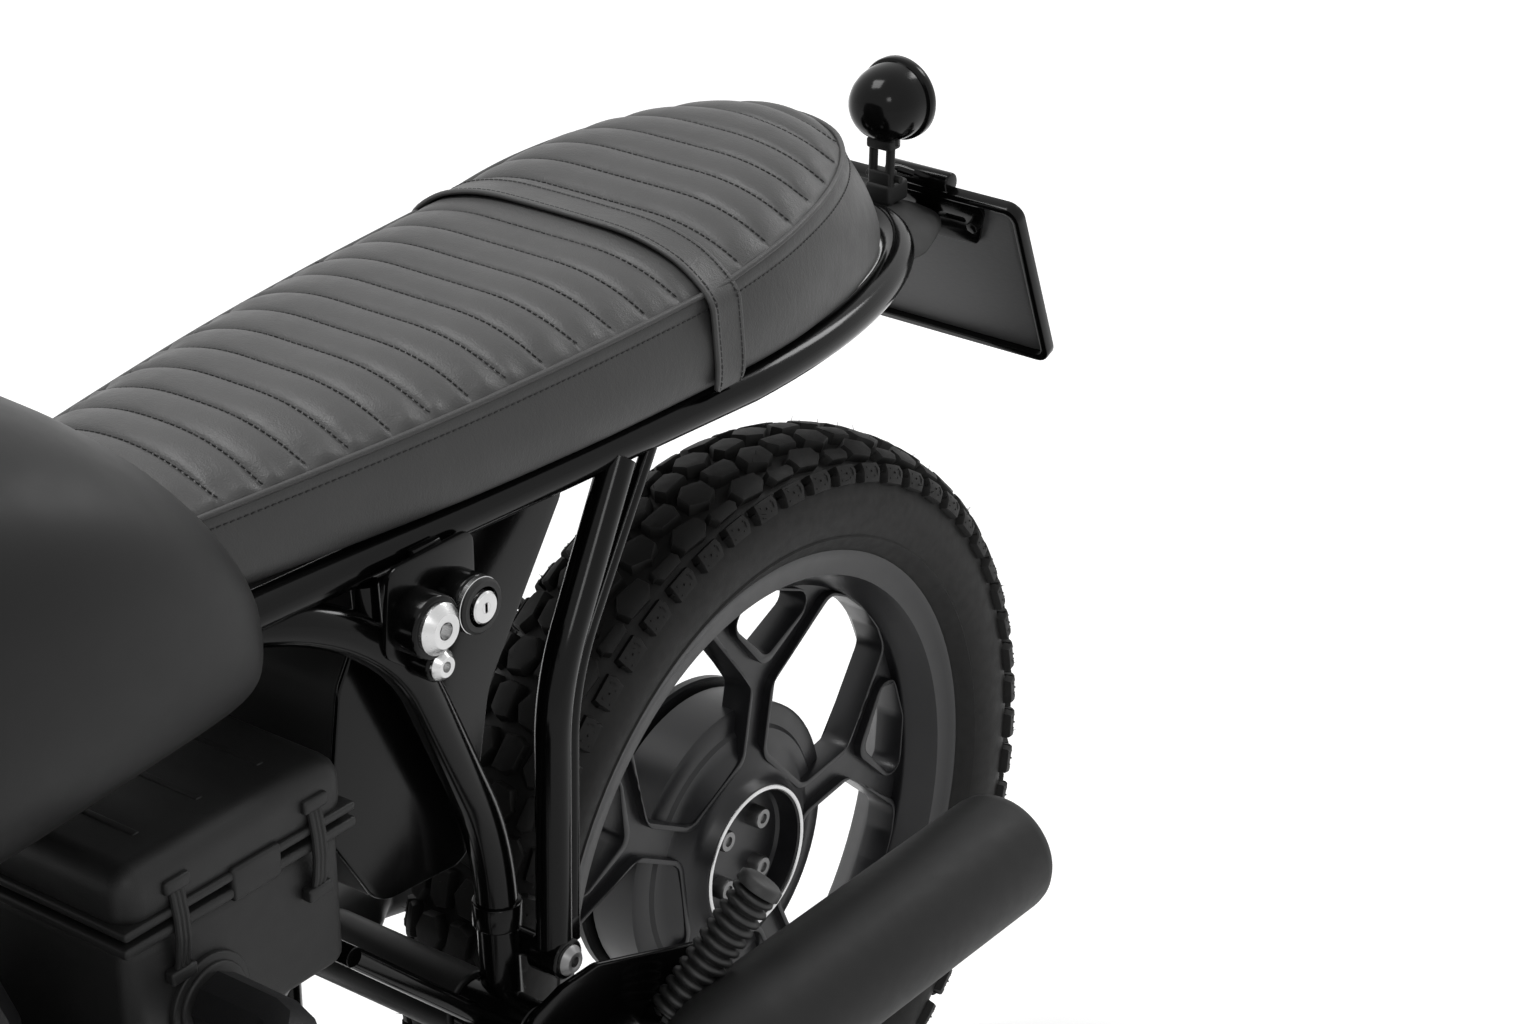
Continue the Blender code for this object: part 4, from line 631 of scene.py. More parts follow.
def buildTyre(name, axleX, axleZ, body, node, firstSpin):
    drawn = random.Random(tyre["seed"])
    half = [(tyre["radius"] - drop, y) for drop, y in tyre["carcass"]]
    profile = [(r, -y) for r, y in reversed(half)] + half[1:]
    carcass = latheShape(name + "Carcass", profile, 120, Matrix.Rotation(-pi / 2, 4, "X"))
    carcass = smooth(withModifier(carcass, "SOLIDIFY", thickness=0.004, offset=-1), 40)
    lugs = bmesh.new()
    step = 2 * pi / tyre["pitches"]
    for i in range(tyre["pitches"]):
        for side in (-1, 1):
            angle = firstSpin + i * step + (step / 2 if side > 0 else 0)
            addLug(lugs, tyre["crownLug"], angle, side)
            addLug(lugs, tyre["middleLug"], angle + step / 2, side)
            addLug(lugs, tyre["innerLug"], angle + step / 2, side)
            addLug(lugs, tyre["outerLug"], angle, side)
            for place in (angle, angle + step / 2):
                addLug(lugs, tyre["shoulderLug"], place, side)
                for a, b in tyre["dots"]:
                    middle = wrapped(a, b, 0.0, place, side)
                    outward = wrapped(a, b, 0.001, place, side) - middle
                    turn = aimed(middle, outward)
                    bmesh.ops.create_cone(lugs, cap_ends=True, segments=6, radius1=0.0011, radius2=0.0006,
                                          depth=0.0012, matrix=turn)
    # moulding hairs stand up between the lugs
    for i in range(tyre["hairs"]):
        side = drawn.choice((-1, 1))
        angle = drawn.uniform(0, 2 * pi)
        out = drawn.uniform(6, 66)
        root = wrapped(0, out, -0.001, angle, side)
        tip = wrapped(drawn.uniform(-2, 2), out + drawn.uniform(-2, 2), drawn.uniform(0.002, 0.0045),
                      angle, side)
        line = tip - root
        turn = aimed((root + tip) / 2, line)
        bmesh.ops.create_cone(lugs, cap_ends=True, segments=4, radius1=0.0003, radius2=0.00015,
                              depth=line.length, matrix=turn)
    tread = smooth(shapeObject(name + "Lugs", lugs), 30)
    whole = joined([carcass, tread], name)
    moveMesh(whole, Matrix.Translation(at(axleX, 0, axleZ)))
    return finishPiece(whole, finishes["tyre"], body, [node])


buildTyre("rearTyre", 0, rearAxleZ, "rear_wheel", "rear_tyre", tyre["firstAngle"])
buildTyre("frontTyre", -wheelbase, frontAxleZ, "front_wheel", "front_tyre", 0.0)
print("tyres built")


# Cast wheels: a turned rim, a pierced web and a raised wall round each opening

wheel = {
    "rimRadius": 0.2425,
    "rimHalf": 0.038,
    "spokes": 5,
    "firstSpoke": radians(79),
    "hubEdge": 0.080,
    "elbow": 0.137,
    "outerEdge": 0.2045,
    "stemHalf": 0.015,
    "armAngle": radians(19),
    "armHalf": 0.010,
    "lip": 0.0042,
    "webHalf": 0.0055,
    "wallHalf": 0.0125,
}


def wheelOpenings(grow):
    # outlines of the openings, each grown into the spokes by that much
    hub, elbow, outer = wheel["hubEdge"] - grow, wheel["elbow"] - grow, wheel["outerEdge"] + grow * 0.6
    stem, arm = wheel["stemHalf"] - grow, wheel["armHalf"] - grow
    pitch = 2 * pi / wheel["spokes"]
    outlines = []
    for i in range(wheel["spokes"]):
        spoke = wheel["firstSpoke"] + i * pitch
        middle = spoke + pitch / 2
        spread = wheel["armAngle"] + arm / outer
        side = [(outer, pitch / 2 - spread), (elbow, pitch / 2 - stem / elbow),
                (hub, pitch / 2 - stem / hub)]
        corners = [(r, middle - a) for r, a in side] + [(r, middle + a) for r, a in reversed(side)]
        corners += [(outer + 0.0035, middle + pitch * 0.11), (outer + 0.0047, middle),
                    (outer + 0.0035, middle - pitch * 0.11)]
        flat = [(r * cos(a), r * sin(a)) for r, a in corners]
        outlines.append(roundOutline(flat, [0.014 + grow] * 6 + [0.02] * 3, 6))
        inside = wheel["armAngle"] - arm / outer
        fork = [(0.157 - grow * 2.2, spoke), (outer, spoke + inside), (outer + 0.004, spoke),
                (outer, spoke - inside)]
        flat = [(r * cos(a), r * sin(a)) for r, a in fork]
        outlines.append(roundOutline(flat, [0.010 + grow, 0.010 + grow, 0.02, 0.010 + grow], 6))
    return outlines


def flatCurve(name, outlines, half, matrix, bevel=0.0):
    # a filled flat curve: the first outline is the edge, the others are holes
    bpy.ops.curve.primitive_nurbs_path_add(location=(0, 0, 0))
    made = takeNew(name)
    curve = made.data
    curve.splines.clear()
    for outline in outlines:
        spline = curve.splines.new("POLY")
        spline.points.add(len(outline) - 1)
        for point, (x, y) in zip(spline.points, outline):
            point.co = (x, y, 0, 1)
        spline.use_cyclic_u = True
    curve.dimensions = "2D"
    curve.fill_mode = "BOTH"
    curve.extrude = half - bevel
    curve.bevel_depth = bevel
    curve.bevel_resolution = 1
    curve.offset = -bevel
    onlySelect(made)
    bpy.ops.object.convert(target="MESH")
    return moveMesh(cleanMesh(bpy.context.object), matrix)


def ringOutline(radius, steps=96):
    return [(radius * cos(2 * pi * i / steps), radius * sin(2 * pi * i / steps)) for i in range(steps)]


def buildWheel(name, axleX, axleZ, body, node, hubProfile):
    facing = sidePlane(0) @ Matrix.Translation((axleX, axleZ, 0))
    openings = wheelOpenings(0.0)
    grown = wheelOpenings(wheel["lip"])
    parts = [flatCurve("web", [ringOutline(0.2130), *wheelOpenings(0.0006)], wheel["webHalf"], facing)]
    for inner, outer in zip(openings, grown):
        parts.append(flatCurve("wall", [outer, inner], wheel["wallHalf"], facing, 0.0011))
    edge, half = wheel["rimRadius"], wheel["rimHalf"]
    rim = [
        (edge + 0.0010, -half - 0.0006), (edge + 0.0022, -half + 0.0012), (edge + 0.0016, -half + 0.0038),
        (edge - 0.0100, -half + 0.0070), (edge - 0.0260, -0.012), (edge - 0.0260, 0.012),
        (edge - 0.0100, half - 0.0070), (edge + 0.0016, half - 0.0038), (edge + 0.0022, half - 0.0012),
        (edge + 0.0010, half + 0.0006), (edge - 0.0030, half + 0.0004), (edge - 0.0060, half - 0.0012),
        (edge - 0.0190, half - 0.0030), (edge - 0.0220, half - 0.0070), (edge - 0.0285, 0.020),
        (edge - 0.0325, 0.0145), (edge - 0.0335, 0.012), (edge - 0.0335, -0.012),
        (edge - 0.0325, -0.0145), (edge - 0.0285, -0.020), (edge - 0.0220, -half + 0.0070),
        (edge - 0.0190, -half + 0.0030), (edge - 0.0060, -half + 0.0012), (edge - 0.0030, -half - 0.0004),
        (edge + 0.0010, -half - 0.0006),
    ]
    parts.append(latheShape("rim", rim, 120, across(axleX, axleZ)))
    parts.append(latheShape("hub", hubProfile, 72, across(axleX, axleZ)))
    whole = smooth(joined(parts, name), 32)
    return finishPiece(whole, finishes["wheelPaint"], body, [node])


rearHub = [
    (0.0001, -0.004), (0.030, -0.004), (0.0495, -0.005), (0.0520, -0.008), (0.0535, -0.0240),
    (0.0545, -0.0250), (0.0580, -0.0250), (0.0590, -0.0240), (0.0610, -0.018), (0.0680, -0.0120),
    (0.0800, -0.0100), (0.0850, -0.0060), (0.0960, -0.0045), (0.0990, -0.0020), (0.1120, -0.0010),
    (0.1150, 0.0010), (0.1150, 0.0390), (0.1130, 0.0400), (0.0215, 0.0400), (0.0215, 0.0200),
    (0.0001, 0.0200),
]
frontHub = [
    (0.0088, -0.0500), (0.0210, -0.0500), (0.0220, -0.0490), (0.0300, -0.0420), (0.0390, -0.0400),
    (0.0400, -0.0390), (0.0620, -0.0200), (0.0840, -0.0070), (0.0850, -0.0060), (0.0850, 0.0060),
    (0.0500, 0.0200), (0.0300, 0.0420), (0.0220, 0.0540), (0.0210, 0.0550), (0.0088, 0.0550),
    (0.0088, -0.0500),
]
buildWheel("rearWheel", 0, rearAxleZ, "rear_wheel", "rear_rim", rearHub)
buildWheel("frontWheel", -wheelbase, frontAxleZ, "front_wheel", "front_rim", frontHub)
print("wheels built")


# Tank: squared oval sections, skinned and subdivided

tank = {
    # x, half width, bottom, top, squareness
    "sections": [
        (-0.577, 0.070, 0.772, 0.800, 2.4),
        (-0.578, 0.108, 0.752, 0.822, 2.6),
        (-0.586, 0.128, 0.742, 0.858, 2.7),
        (-0.606, 0.141, 0.736, 0.896, 2.7),
        (-0.650, 0.154, 0.731, 0.943, 2.6),
        (-0.720, 0.165, 0.724, 0.985, 2.5),
        (-0.800, 0.169, 0.716, 1.006, 2.5),
        (-0.880, 0.163, 0.714, 1.008, 2.5),
        (-0.940, 0.146, 0.722, 0.995, 2.5),
        (-0.975, 0.118, 0.742, 0.972, 2.4),
        (-0.989, 0.085, 0.765, 0.945, 2.2),
        (-0.991, 0.050, 0.790, 0.920, 2.2),
    ],
    "sides": 32,
}


def ovalRing(x, half, bottom, top, power, sides):
    ring = []
    for i in range(sides):
        angle = 2 * pi * (i + 0.5) / sides
        c, s = cos(angle), sin(angle)
        y = half * abs(c) ** (2 / power) * (1 if c > 0 else -1)
        z = (top + bottom) / 2 + (top - bottom) / 2 * abs(s) ** (2 / power) * (1 if s > 0 else -1)
        ring.append(at(x, y, z))
    return ring


def buildTank():
    shape = bmesh.new()
    drawn = [[shape.verts.new(p) for p in ovalRing(*row, tank["sides"])] for row in tank["sections"]]
    skin(shape, drawn)
    shape.faces.new(drawn[0][::-1])
    shape.faces.new(drawn[-1])
    shell = shapeObject("tankShell", shape)
    withModifier(shell, "SUBSURF", levels=2, render_levels=2)
    for name, size, centre in (
        ("tunnel", (0.60, 0.090, 0.29), (-0.80, 0, 0.74)),
        ("arcWay", (0.20, 0.205, 0.19), (-0.60, 0, 0.74)),
        ("seatWay", (0.209, 0.196, 0.19), (-0.50, 0, 0.90)),
    ):
        cutter = boxShape(name, size, Matrix.Translation(at(*centre)), 0.006)
        withModifier(shell, "BOOLEAN", operation="DIFFERENCE", object=cutter, solver="EXACT")
        bpy.data.objects.remove(cutter)
    smooth(shell, 40)
    finishPiece(shell, finishes["satin"], "chassis", ["fuel_tank"])


buildTank()
print("tank built")


# Seat: a sewn cover with rolled ribs, a piping cord, a strap and rows of stitches

seat = {
    "bottom": 0.8102,
    # height of the piping at x = 0, its slope, and the rise towards the tail: from x, over that length
    "piping": (0.8815, 0.0358),
    "rise": (0.0125, -0.16, 0.20),
    "seamZero": -0.383,  # x of the seam that the others are counted from
    "seamPitch": 0.0307,
    "seams": [k for k in range(-6, 15) if k != 7],  # seam 7 lies under the strap
    "ribDepth": 0.0048,
    "crown": 0.0205,
    "crownReach": 0.082,
    "across": 36,
    # x, half width at the piping, x and half width at the bottom
    "outline": [
        (-0.598, 0.074, -0.598, 0.080), (-0.500, 0.0905, -0.500, 0.0970),
        (-0.400, 0.1050, -0.400, 0.1120), (-0.300, 0.1143, -0.300, 0.1215),
        (-0.229, 0.1185, -0.229, 0.1250), (-0.165, 0.1208, -0.160, 0.1265),
        (-0.117, 0.1208, -0.098, 0.1250), (-0.078, 0.1165, -0.048, 0.1185),
        (-0.031, 0.1050, 0.008, 0.1060), (0.012, 0.0870, 0.058, 0.0870), (0.046, 0.0640, 0.100, 0.0610),
        (0.070, 0.0360, 0.128, 0.0330), (0.080, 0.0, 0.139, 0.0),
    ],
    # share of the way down the wall, and how far it stands out there
    "wall": [(0.05, 0.0012), (0.12, 0.0018), (0.155, 0.0008), (0.20, 0.0022), (0.36, 0.0042),
             (0.56, 0.0052), (0.76, 0.0044), (0.90, 0.0024), (0.97, -0.0010), (1.0, -0.0050)],
    "wallStitches": 0.155,  # share of the way down
    "stitchPitch": 0.0048,
    "strapPitch": 0.0042,
    "strapAt": -0.1655,
    "clothFrames": 16,
    "clothPressure": 2.5,
    "clothMove": 0.0022,
    "fill": 0.8,
}


def smoothCurve(points, closedEnd=False):
    # a function of share that runs smoothly through the points
    def along(share):
        place = min(max(share, 0.0), 1.0) * (len(points) - 1)
        i = min(int(place), len(points) - 2)
        t = place - i
        b, c = points[i], points[i + 1]
        a = points[i - 1] if i else 2 * b - c
        last = Vector((points[-2].x, -points[-2].y, points[-2].z)) if closedEnd else 2 * c - b
        d = points[i + 2] if i + 2 < len(points) else last
        square, cube = a * 2 - b * 5 + c * 4 - d, b * 3 - a - c * 3 + d
        return (b * 2 + (c - a) * t + square * t * t + cube * t ** 3) / 2
    return along


seatTop = smoothCurve([Vector((x, w, 0)) for x, w, _, _ in seat["outline"]], True)
seatFoot = smoothCurve([Vector((x, w, 0)) for _, _, x, w in seat["outline"]], True)


def shareAtX(x):
    low, high = 0.0, 1.0
    for _ in range(30):
        middle = (low + high) / 2
        if seatTop(middle).x < x:
            low = middle
        else:
            high = middle
    return low


def pipingHeight(x):
    # level along the seat, with a rise towards the tail
    height, slope = seat["piping"]
    rise, start, length = seat["rise"]
    gone = min(1.0, max(0.0, (x - start) / length))
    return height + slope * x + rise * (1 - (1 - gone) ** 2)


def seatEdge(share, side):
    # the piping's line, on that side
    point = seatTop(share)
    return Vector((point.x, side * point.y, pipingHeight(point.x)))


def wallPoint(share, side, down, out):
    # a point on the side wall, and the way that the wall faces there
    top, foot = seatEdge(share, side), seatFoot(share)
    ahead = seatTop(min(1.0, share + 0.004)) - seatTop(share - 0.004 if share > 0.996 else share)
    facing = Vector((-ahead.y, side * ahead.x, 0)).normalized() if share < 0.999 else Vector((1, 0, 0))
    low = Vector((foot.x, side * foot.y, seat["bottom"]))
    return top.lerp(low, down) + facing * out, facing


seatLoop = [seatEdge(i / 60, 1) for i in range(61)] + [seatEdge(1 - i / 60, -1) for i in range(1, 61)]


def edgeDistance(x, y):
    here = Vector((x, y, 0))
    return min((Vector((p.x, p.y, 0)) - here).length for p in seatLoop)


def seamX(k):
    return seat["seamZero"] + k * seat["seamPitch"]


def seatHeight(x, y, rolled=1.0):
    # the piping's height, the crown over it and the roll of the rib
    away = min(1.0, edgeDistance(x, y) / seat["crownReach"])
    crown = seat["crown"] * (1 - (1 - away) ** 2.3)
    near = min(abs(x - seamX(k)) for k in seat["seams"]) / (seat["seamPitch"] / 2)
    roll = sqrt(max(0.0, 1 - (1 - min(1.0, near)) ** 2.4))
    fade = min(1.0, 0.25 + away * 3.2)
    return pipingHeight(x) + crown + seat["ribDepth"] * roll * fade * rolled * (1 if away > 0 else 0)


def seatRows():
    # x of each row of the top, from the front to the last seam, with close rows beside the seams
    offsets = [0.0, 0.0014, 0.0042, 0.0090, 0.01535, 0.0217, 0.0265, 0.0293]
    rows = [-0.598, -0.590, -0.580, -0.5725, -0.5686]
    first, last = seat["seams"][0], seat["seams"][-1]
    for k in range(first, last):
        rows += [seamX(k) + step for step in offsets]
    return rows + [seamX(last)]


def puffed(thing, pinned, frames, limit, pressure):
    # cloth under pressure, held at its seams; no point moves further than the limit
    group = thing.vertex_groups.new(name="pinned")
    group.add(pinned, 1.0, "REPLACE")
    before = [v.co.copy() for v in thing.data.vertices]
    cloth = thing.modifiers.new("cloth", "CLOTH")
    cloth.settings.quality = 6
    cloth.settings.mass = 0.25
    cloth.settings.tension_stiffness = 12
    cloth.settings.compression_stiffness = 12
    cloth.settings.bending_stiffness = 0.3
    cloth.settings.use_pressure = True
    cloth.settings.uniform_pressure_force = pressure
    cloth.settings.vertex_group_mass = "pinned"
    cloth.settings.effector_weights.gravity = 0
    for step in range(1, frames + 1):
        bpy.context.scene.frame_set(step)
    applyModifiers(thing)
    bpy.context.scene.frame_set(1)
    for vertex, start in zip(thing.data.vertices, before):
        move = vertex.co - start
        if move.length > limit:
            vertex.co = start + move.normalized() * limit
    thing.vertex_groups.clear()
    return thing


def buildSeatCover():
    n = seat["across"]
    shape = bmesh.new()
    grid, ends = [], []
    for x in seatRows():
        share = shareAtX(x)
        half = seatTop(share).y
        spots = [half * sin(pi / 2 * (2 * i / n - 1)) * 0.35 + half * (2 * i / n - 1) * 0.65
                 for i in range(n + 1)]
        grid.append([(x, y) for y in spots])
        ends.append(share)
    # behind the last seam the rows bend round to the nose
    lastShare, noseShare, steps = ends[-1], 0.962, 7
    for j in range(1, steps + 1):
        blend = j / steps
        share = lastShare + (noseShare - lastShare) * blend
        half = seatTop(share).y
        row = []
        for i in range(n + 1):
            turn = 2 * i / n - 1
            arc = seatTop(noseShare + (1 - noseShare) * (1 - abs(turn)))
            straight = seatTop(share).x
            x = straight + (arc.x - seatTop(noseShare).x) * blend
            y = (arc.y if turn > 0 else -arc.y) * blend + half * turn * (1 - blend)
            row.append((straight, half * turn) if i in (0, n) else (x, y))
        grid.append(row)
        ends.append(share)
    drawn = []
    for row, share in zip(grid, ends):
        line = []
        for i, (x, y) in enumerate(row):
            rim = i in (0, n) or row is grid[-1]
            z = pipingHeight(x) if rim else seatHeight(x, y)
            line.append(shape.verts.new(at(x, y, z)))
        drawn.append(line)
    skin(shape, drawn, False)
    # the rim in order: left side to the nose, round it, back along the right, and over the front
    rim = [(line[0], -1, share) for line, share in zip(drawn, ends)]
    rim += [(v, 0, 0) for v in drawn[-1][1:-1]]
    rim += [(line[-1], 1, share) for line, share in zip(drawn[::-1], ends[::-1])]
    rim += [(v, 2, 0) for v in drawn[0][-2:0:-1]]
    last = [v for v, _, _ in rim]
    seams = set(v for line, row in zip(drawn, grid) for v in line
                if min(abs(row[1][0] - seamX(k)) for k in seat["seams"]) < 0.0002)
    held = set(last) | seams
    for down, out in seat["wall"]:
        ring = []
        for vertex, side, share in rim:
            flatX, flatY = vertex.co.x - rearAxleX, vertex.co.y
            if side == 0:
                turn = abs(2 * drawn[-1].index(vertex) / n - 1)
                part = min(1.0, noseShare + (1 - noseShare) * (1 - turn))
                spot, _ = wallPoint(part, 1 if flatY > 0 else -1, down, out)
            elif side == 2:
                low = seat["bottom"]
                spot = Vector((flatX, flatY * (1 + 0.08 * down),
                               pipingHeight(flatX) * (1 - down) + low * down))
            else:
                spot, _ = wallPoint(share, side, down, out)
            ring.append(shape.verts.new(at(*spot)))
        skin(shape, [last, ring])
        last = ring
        if down in (seat["wallStitches"], 0.97, 1.0):
            held |= set(ring)
    # the underside: strips from side to side, and each end folded in on itself
    rows = len(drawn)
    foot = [(last[i], last[i + 1], last[2 * rows + n - 3 - i], last[2 * rows + n - 2 - i])
            for i in range(rows - 1)]
    for end in (last[rows - 1:rows + n], last[2 * rows + n - 2:] + last[:1]):
        foot += [(end[j], end[j + 1], end[-2 - j], end[-1 - j]) for j in range(n // 2 - 1)]
        foot.append((end[n // 2 - 1], end[n // 2], end[n // 2 + 1]))
    for corners in foot:
        shape.faces.new(corners)
    shape.verts.index_update()
    pinned = [v.index for v in held]
    cover = shapeObject("seatCover", shape)
    puffed(cover, pinned, seat["clothFrames"], seat["clothMove"], seat["clothPressure"])
    withModifier(cover, "SUBSURF", levels=1, render_levels=1)
    smooth(cover, 60)
    finishPiece(cover, finishes["leather"], "chassis", ["seat"])
    return cover


def stitchTemplate(length=0.0034, radius=0.00062):
    stitch = rodShape("stitch", (-length / 2, 0, 0), (length / 2, 0, 0), radius, 6)
    return bevelled(stitch, radius * 0.6, 1)


def stitchAlong(path, pitch, lift=0.0001):
    # a matrix for each stitch along a path of (place, up)
    matrices, gone, due = [], 0.0, pitch / 2
    for (one, up), (two, _) in zip(path, path[1:]):
        length = (two - one).length
        while due <= gone + length:
            place = one.lerp(two, (due - gone) / length) + up * lift
            ahead = (two - one).normalized()
            side = up.cross(ahead).normalized()
            turn = Matrix((ahead, side, ahead.cross(side))).transposed().to_4x4()
            matrices.append(Matrix.Translation(place) @ turn)
            due += pitch
        gone += length
    return matrices


def strapLine():
    # the strap's middle line over the seat: place and outward normal, from one foot to the other
    share = shareAtX(seat["strapAt"])
    side = []
    for down in (1.0, 0.9, 0.75, 0.6, 0.45, 0.3, 0.18, 0.08):
        out = 0.0056 - 0.0040 * max(0.0, (down - 0.75) / 0.25) ** 2
        side.append(wallPoint(share, -1, down, out)[0])
    half = seatTop(share).y
    over = []
    for i in range(25):
        turn = 2 * i / 24 - 1
        y = half * 0.985 * turn
        z = seatHeight(seat["strapAt"], y) + 0.0010 + 0.0008 * (1 - abs(turn))
        over.append(Vector((seat["strapAt"], y, z)))
    places = side + over + [Vector((p.x, -p.y, p.z)) for p in reversed(side)]
    line = []
    for i, place in enumerate(places):
        ahead = places[min(i + 1, len(places) - 1)] - places[max(i - 1, 0)]
        line.append((Vector((seat["strapAt"], place.y, place.z)),
                     Vector((0, -ahead.z, ahead.y)).normalized()))
    return line


def buildStrap():
    # local x across the strap and its thickness, with a rolled front edge
    section = [(-0.0145, -0.0004), (-0.0160, 0.0008), (-0.0163, 0.0026), (-0.0150, 0.0040),
               (-0.0132, 0.0038), (-0.0118, 0.0027), (-0.0060, 0.0024), (0.0060, 0.0024),
               (0.0120, 0.0026), (0.0140, 0.0030), (0.0152, 0.0022), (0.0150, 0.0004), (0.0135, -0.0004)]
    line = strapLine()
    shape = bmesh.new()
    rings = [[shape.verts.new(at(*(place + Vector((a, 0, 0)) + facing * b))) for a, b in section]
             for place, facing in line]
    skin(shape, rings)
    shape.faces.new(rings[0])
    shape.faces.new(rings[-1][::-1])
    strap = shapeObject("seatStrap", shape)
    withModifier(strap, "SUBSURF", levels=1, render_levels=1)
    finishPiece(smooth(strap, 60), finishes["leather"], "chassis")


def buildStitches():
    matrices = []
    for k in seat["seams"]:
        x = seamX(k) + 0.0006
        half = seatTop(shareAtX(x)).y * 0.955
        path = []
        for i in range(41):
            y = half * (2 * i / 40 - 1)
            slope = (seatHeight(x, y + 0.002, 0) - seatHeight(x, y - 0.002, 0)) / 0.004
            path.append((at(x, y, seatHeight(seamX(k), y) + 0.0013), Vector((0, -slope, 1)).normalized()))
        matrices += stitchAlong(path, seat["stitchPitch"])
    strapShare = shareAtX(seat["strapAt"])
    for side in (-1, 1):
        path = []
        for i in range(241):
            share = 0.004 + 0.996 * i / 240
            place, facing = wallPoint(share, side, seat["wallStitches"], 0.0013)
            if abs(share - strapShare) < 0.013:
                matrices += stitchAlong(path, seat["stitchPitch"])
                path = []
                continue
            path.append((at(*place), facing))
        matrices += stitchAlong(path, seat["stitchPitch"])
    for off in (-0.0105, 0.0112):
        path = [(at(*(place + Vector((off, 0, 0)) + facing * 0.0026)), facing)
                for place, facing in strapLine()]
        matrices += stitchAlong(path, seat["strapPitch"])
    stitches = stampCopies("seatStitches", stitchTemplate(), matrices)
    finishPiece(smooth(stitches, 60), finishes["thread"], "chassis")


def buildPiping():
    loop = []
    for point in seatLoop:
        sideways = Vector((0, 1 if point.y > 0 else -1, 0))
        ahead = Vector((point.x + 0.25, point.y, 0)).normalized() if point.x > 0.05 else sideways
        loop.append(at(*(point + ahead * 0.0009 + Vector((0, 0, 0.0009)))))
    cord = smooth(tubeShape("seatPiping", loop, 0.0021, 4), 60)
    finishPiece(cord, finishes["leather"], "chassis")


buildSeatCover()
buildStrap()
buildStitches()
buildPiping()
print("seat built")


# Frame tubes, the seat subframe and what is welded to them

steering = {"headX": -1.1097, "headZ": 0.8599, "rake": radians(28)}
headAt = at(steering["headX"], 0, steering["headZ"])
steerPlace = Matrix.Translation(headAt) @ Matrix.Rotation(steering["rake"], 4, "Y")


def steered(x, y, z):
    return steerPlace @ Vector((x, y, z))


tubes = {
    "armPivot": (-0.385, 0.435),  # x and z
    "strutFoot": (-0.358, 0.480),
    "arc": [(-0.66, 0.045, 0.806), (-0.475, 0.113, 0.768), (-0.374, 0.100, 0.560), (-0.370, 0.106, 0.235),
            (-1.050, 0.106, 0.225)],
    "arcBends": [0.15, 0.22, 0.08, 0.08],
    "tubeRadius": 0.014,
    "backboneRadius": 0.022,
    "railRadius": 0.0125,
    "railZ": 0.797,
    "tail": (-0.130, 0.290, 0.120),  # where the loop starts, its length and its half width
    "strut": [(-0.262, 0.1165, 0.791), (-0.352, 0.135, 0.672), (-0.358, 0.135, 0.480)],
    "stay": [(-0.232, 0.118, 0.789), (-0.334, 0.135, 0.668), (-0.3395, 0.135, 0.486)],
}


def onSide(points, side):
    return [at(x, side * y, z) for x, y, z in points]


def crossTube(name, x, z, half, radius):
    return rodShape(name, at(x, -half, z), at(x, half, z), radius, 24)


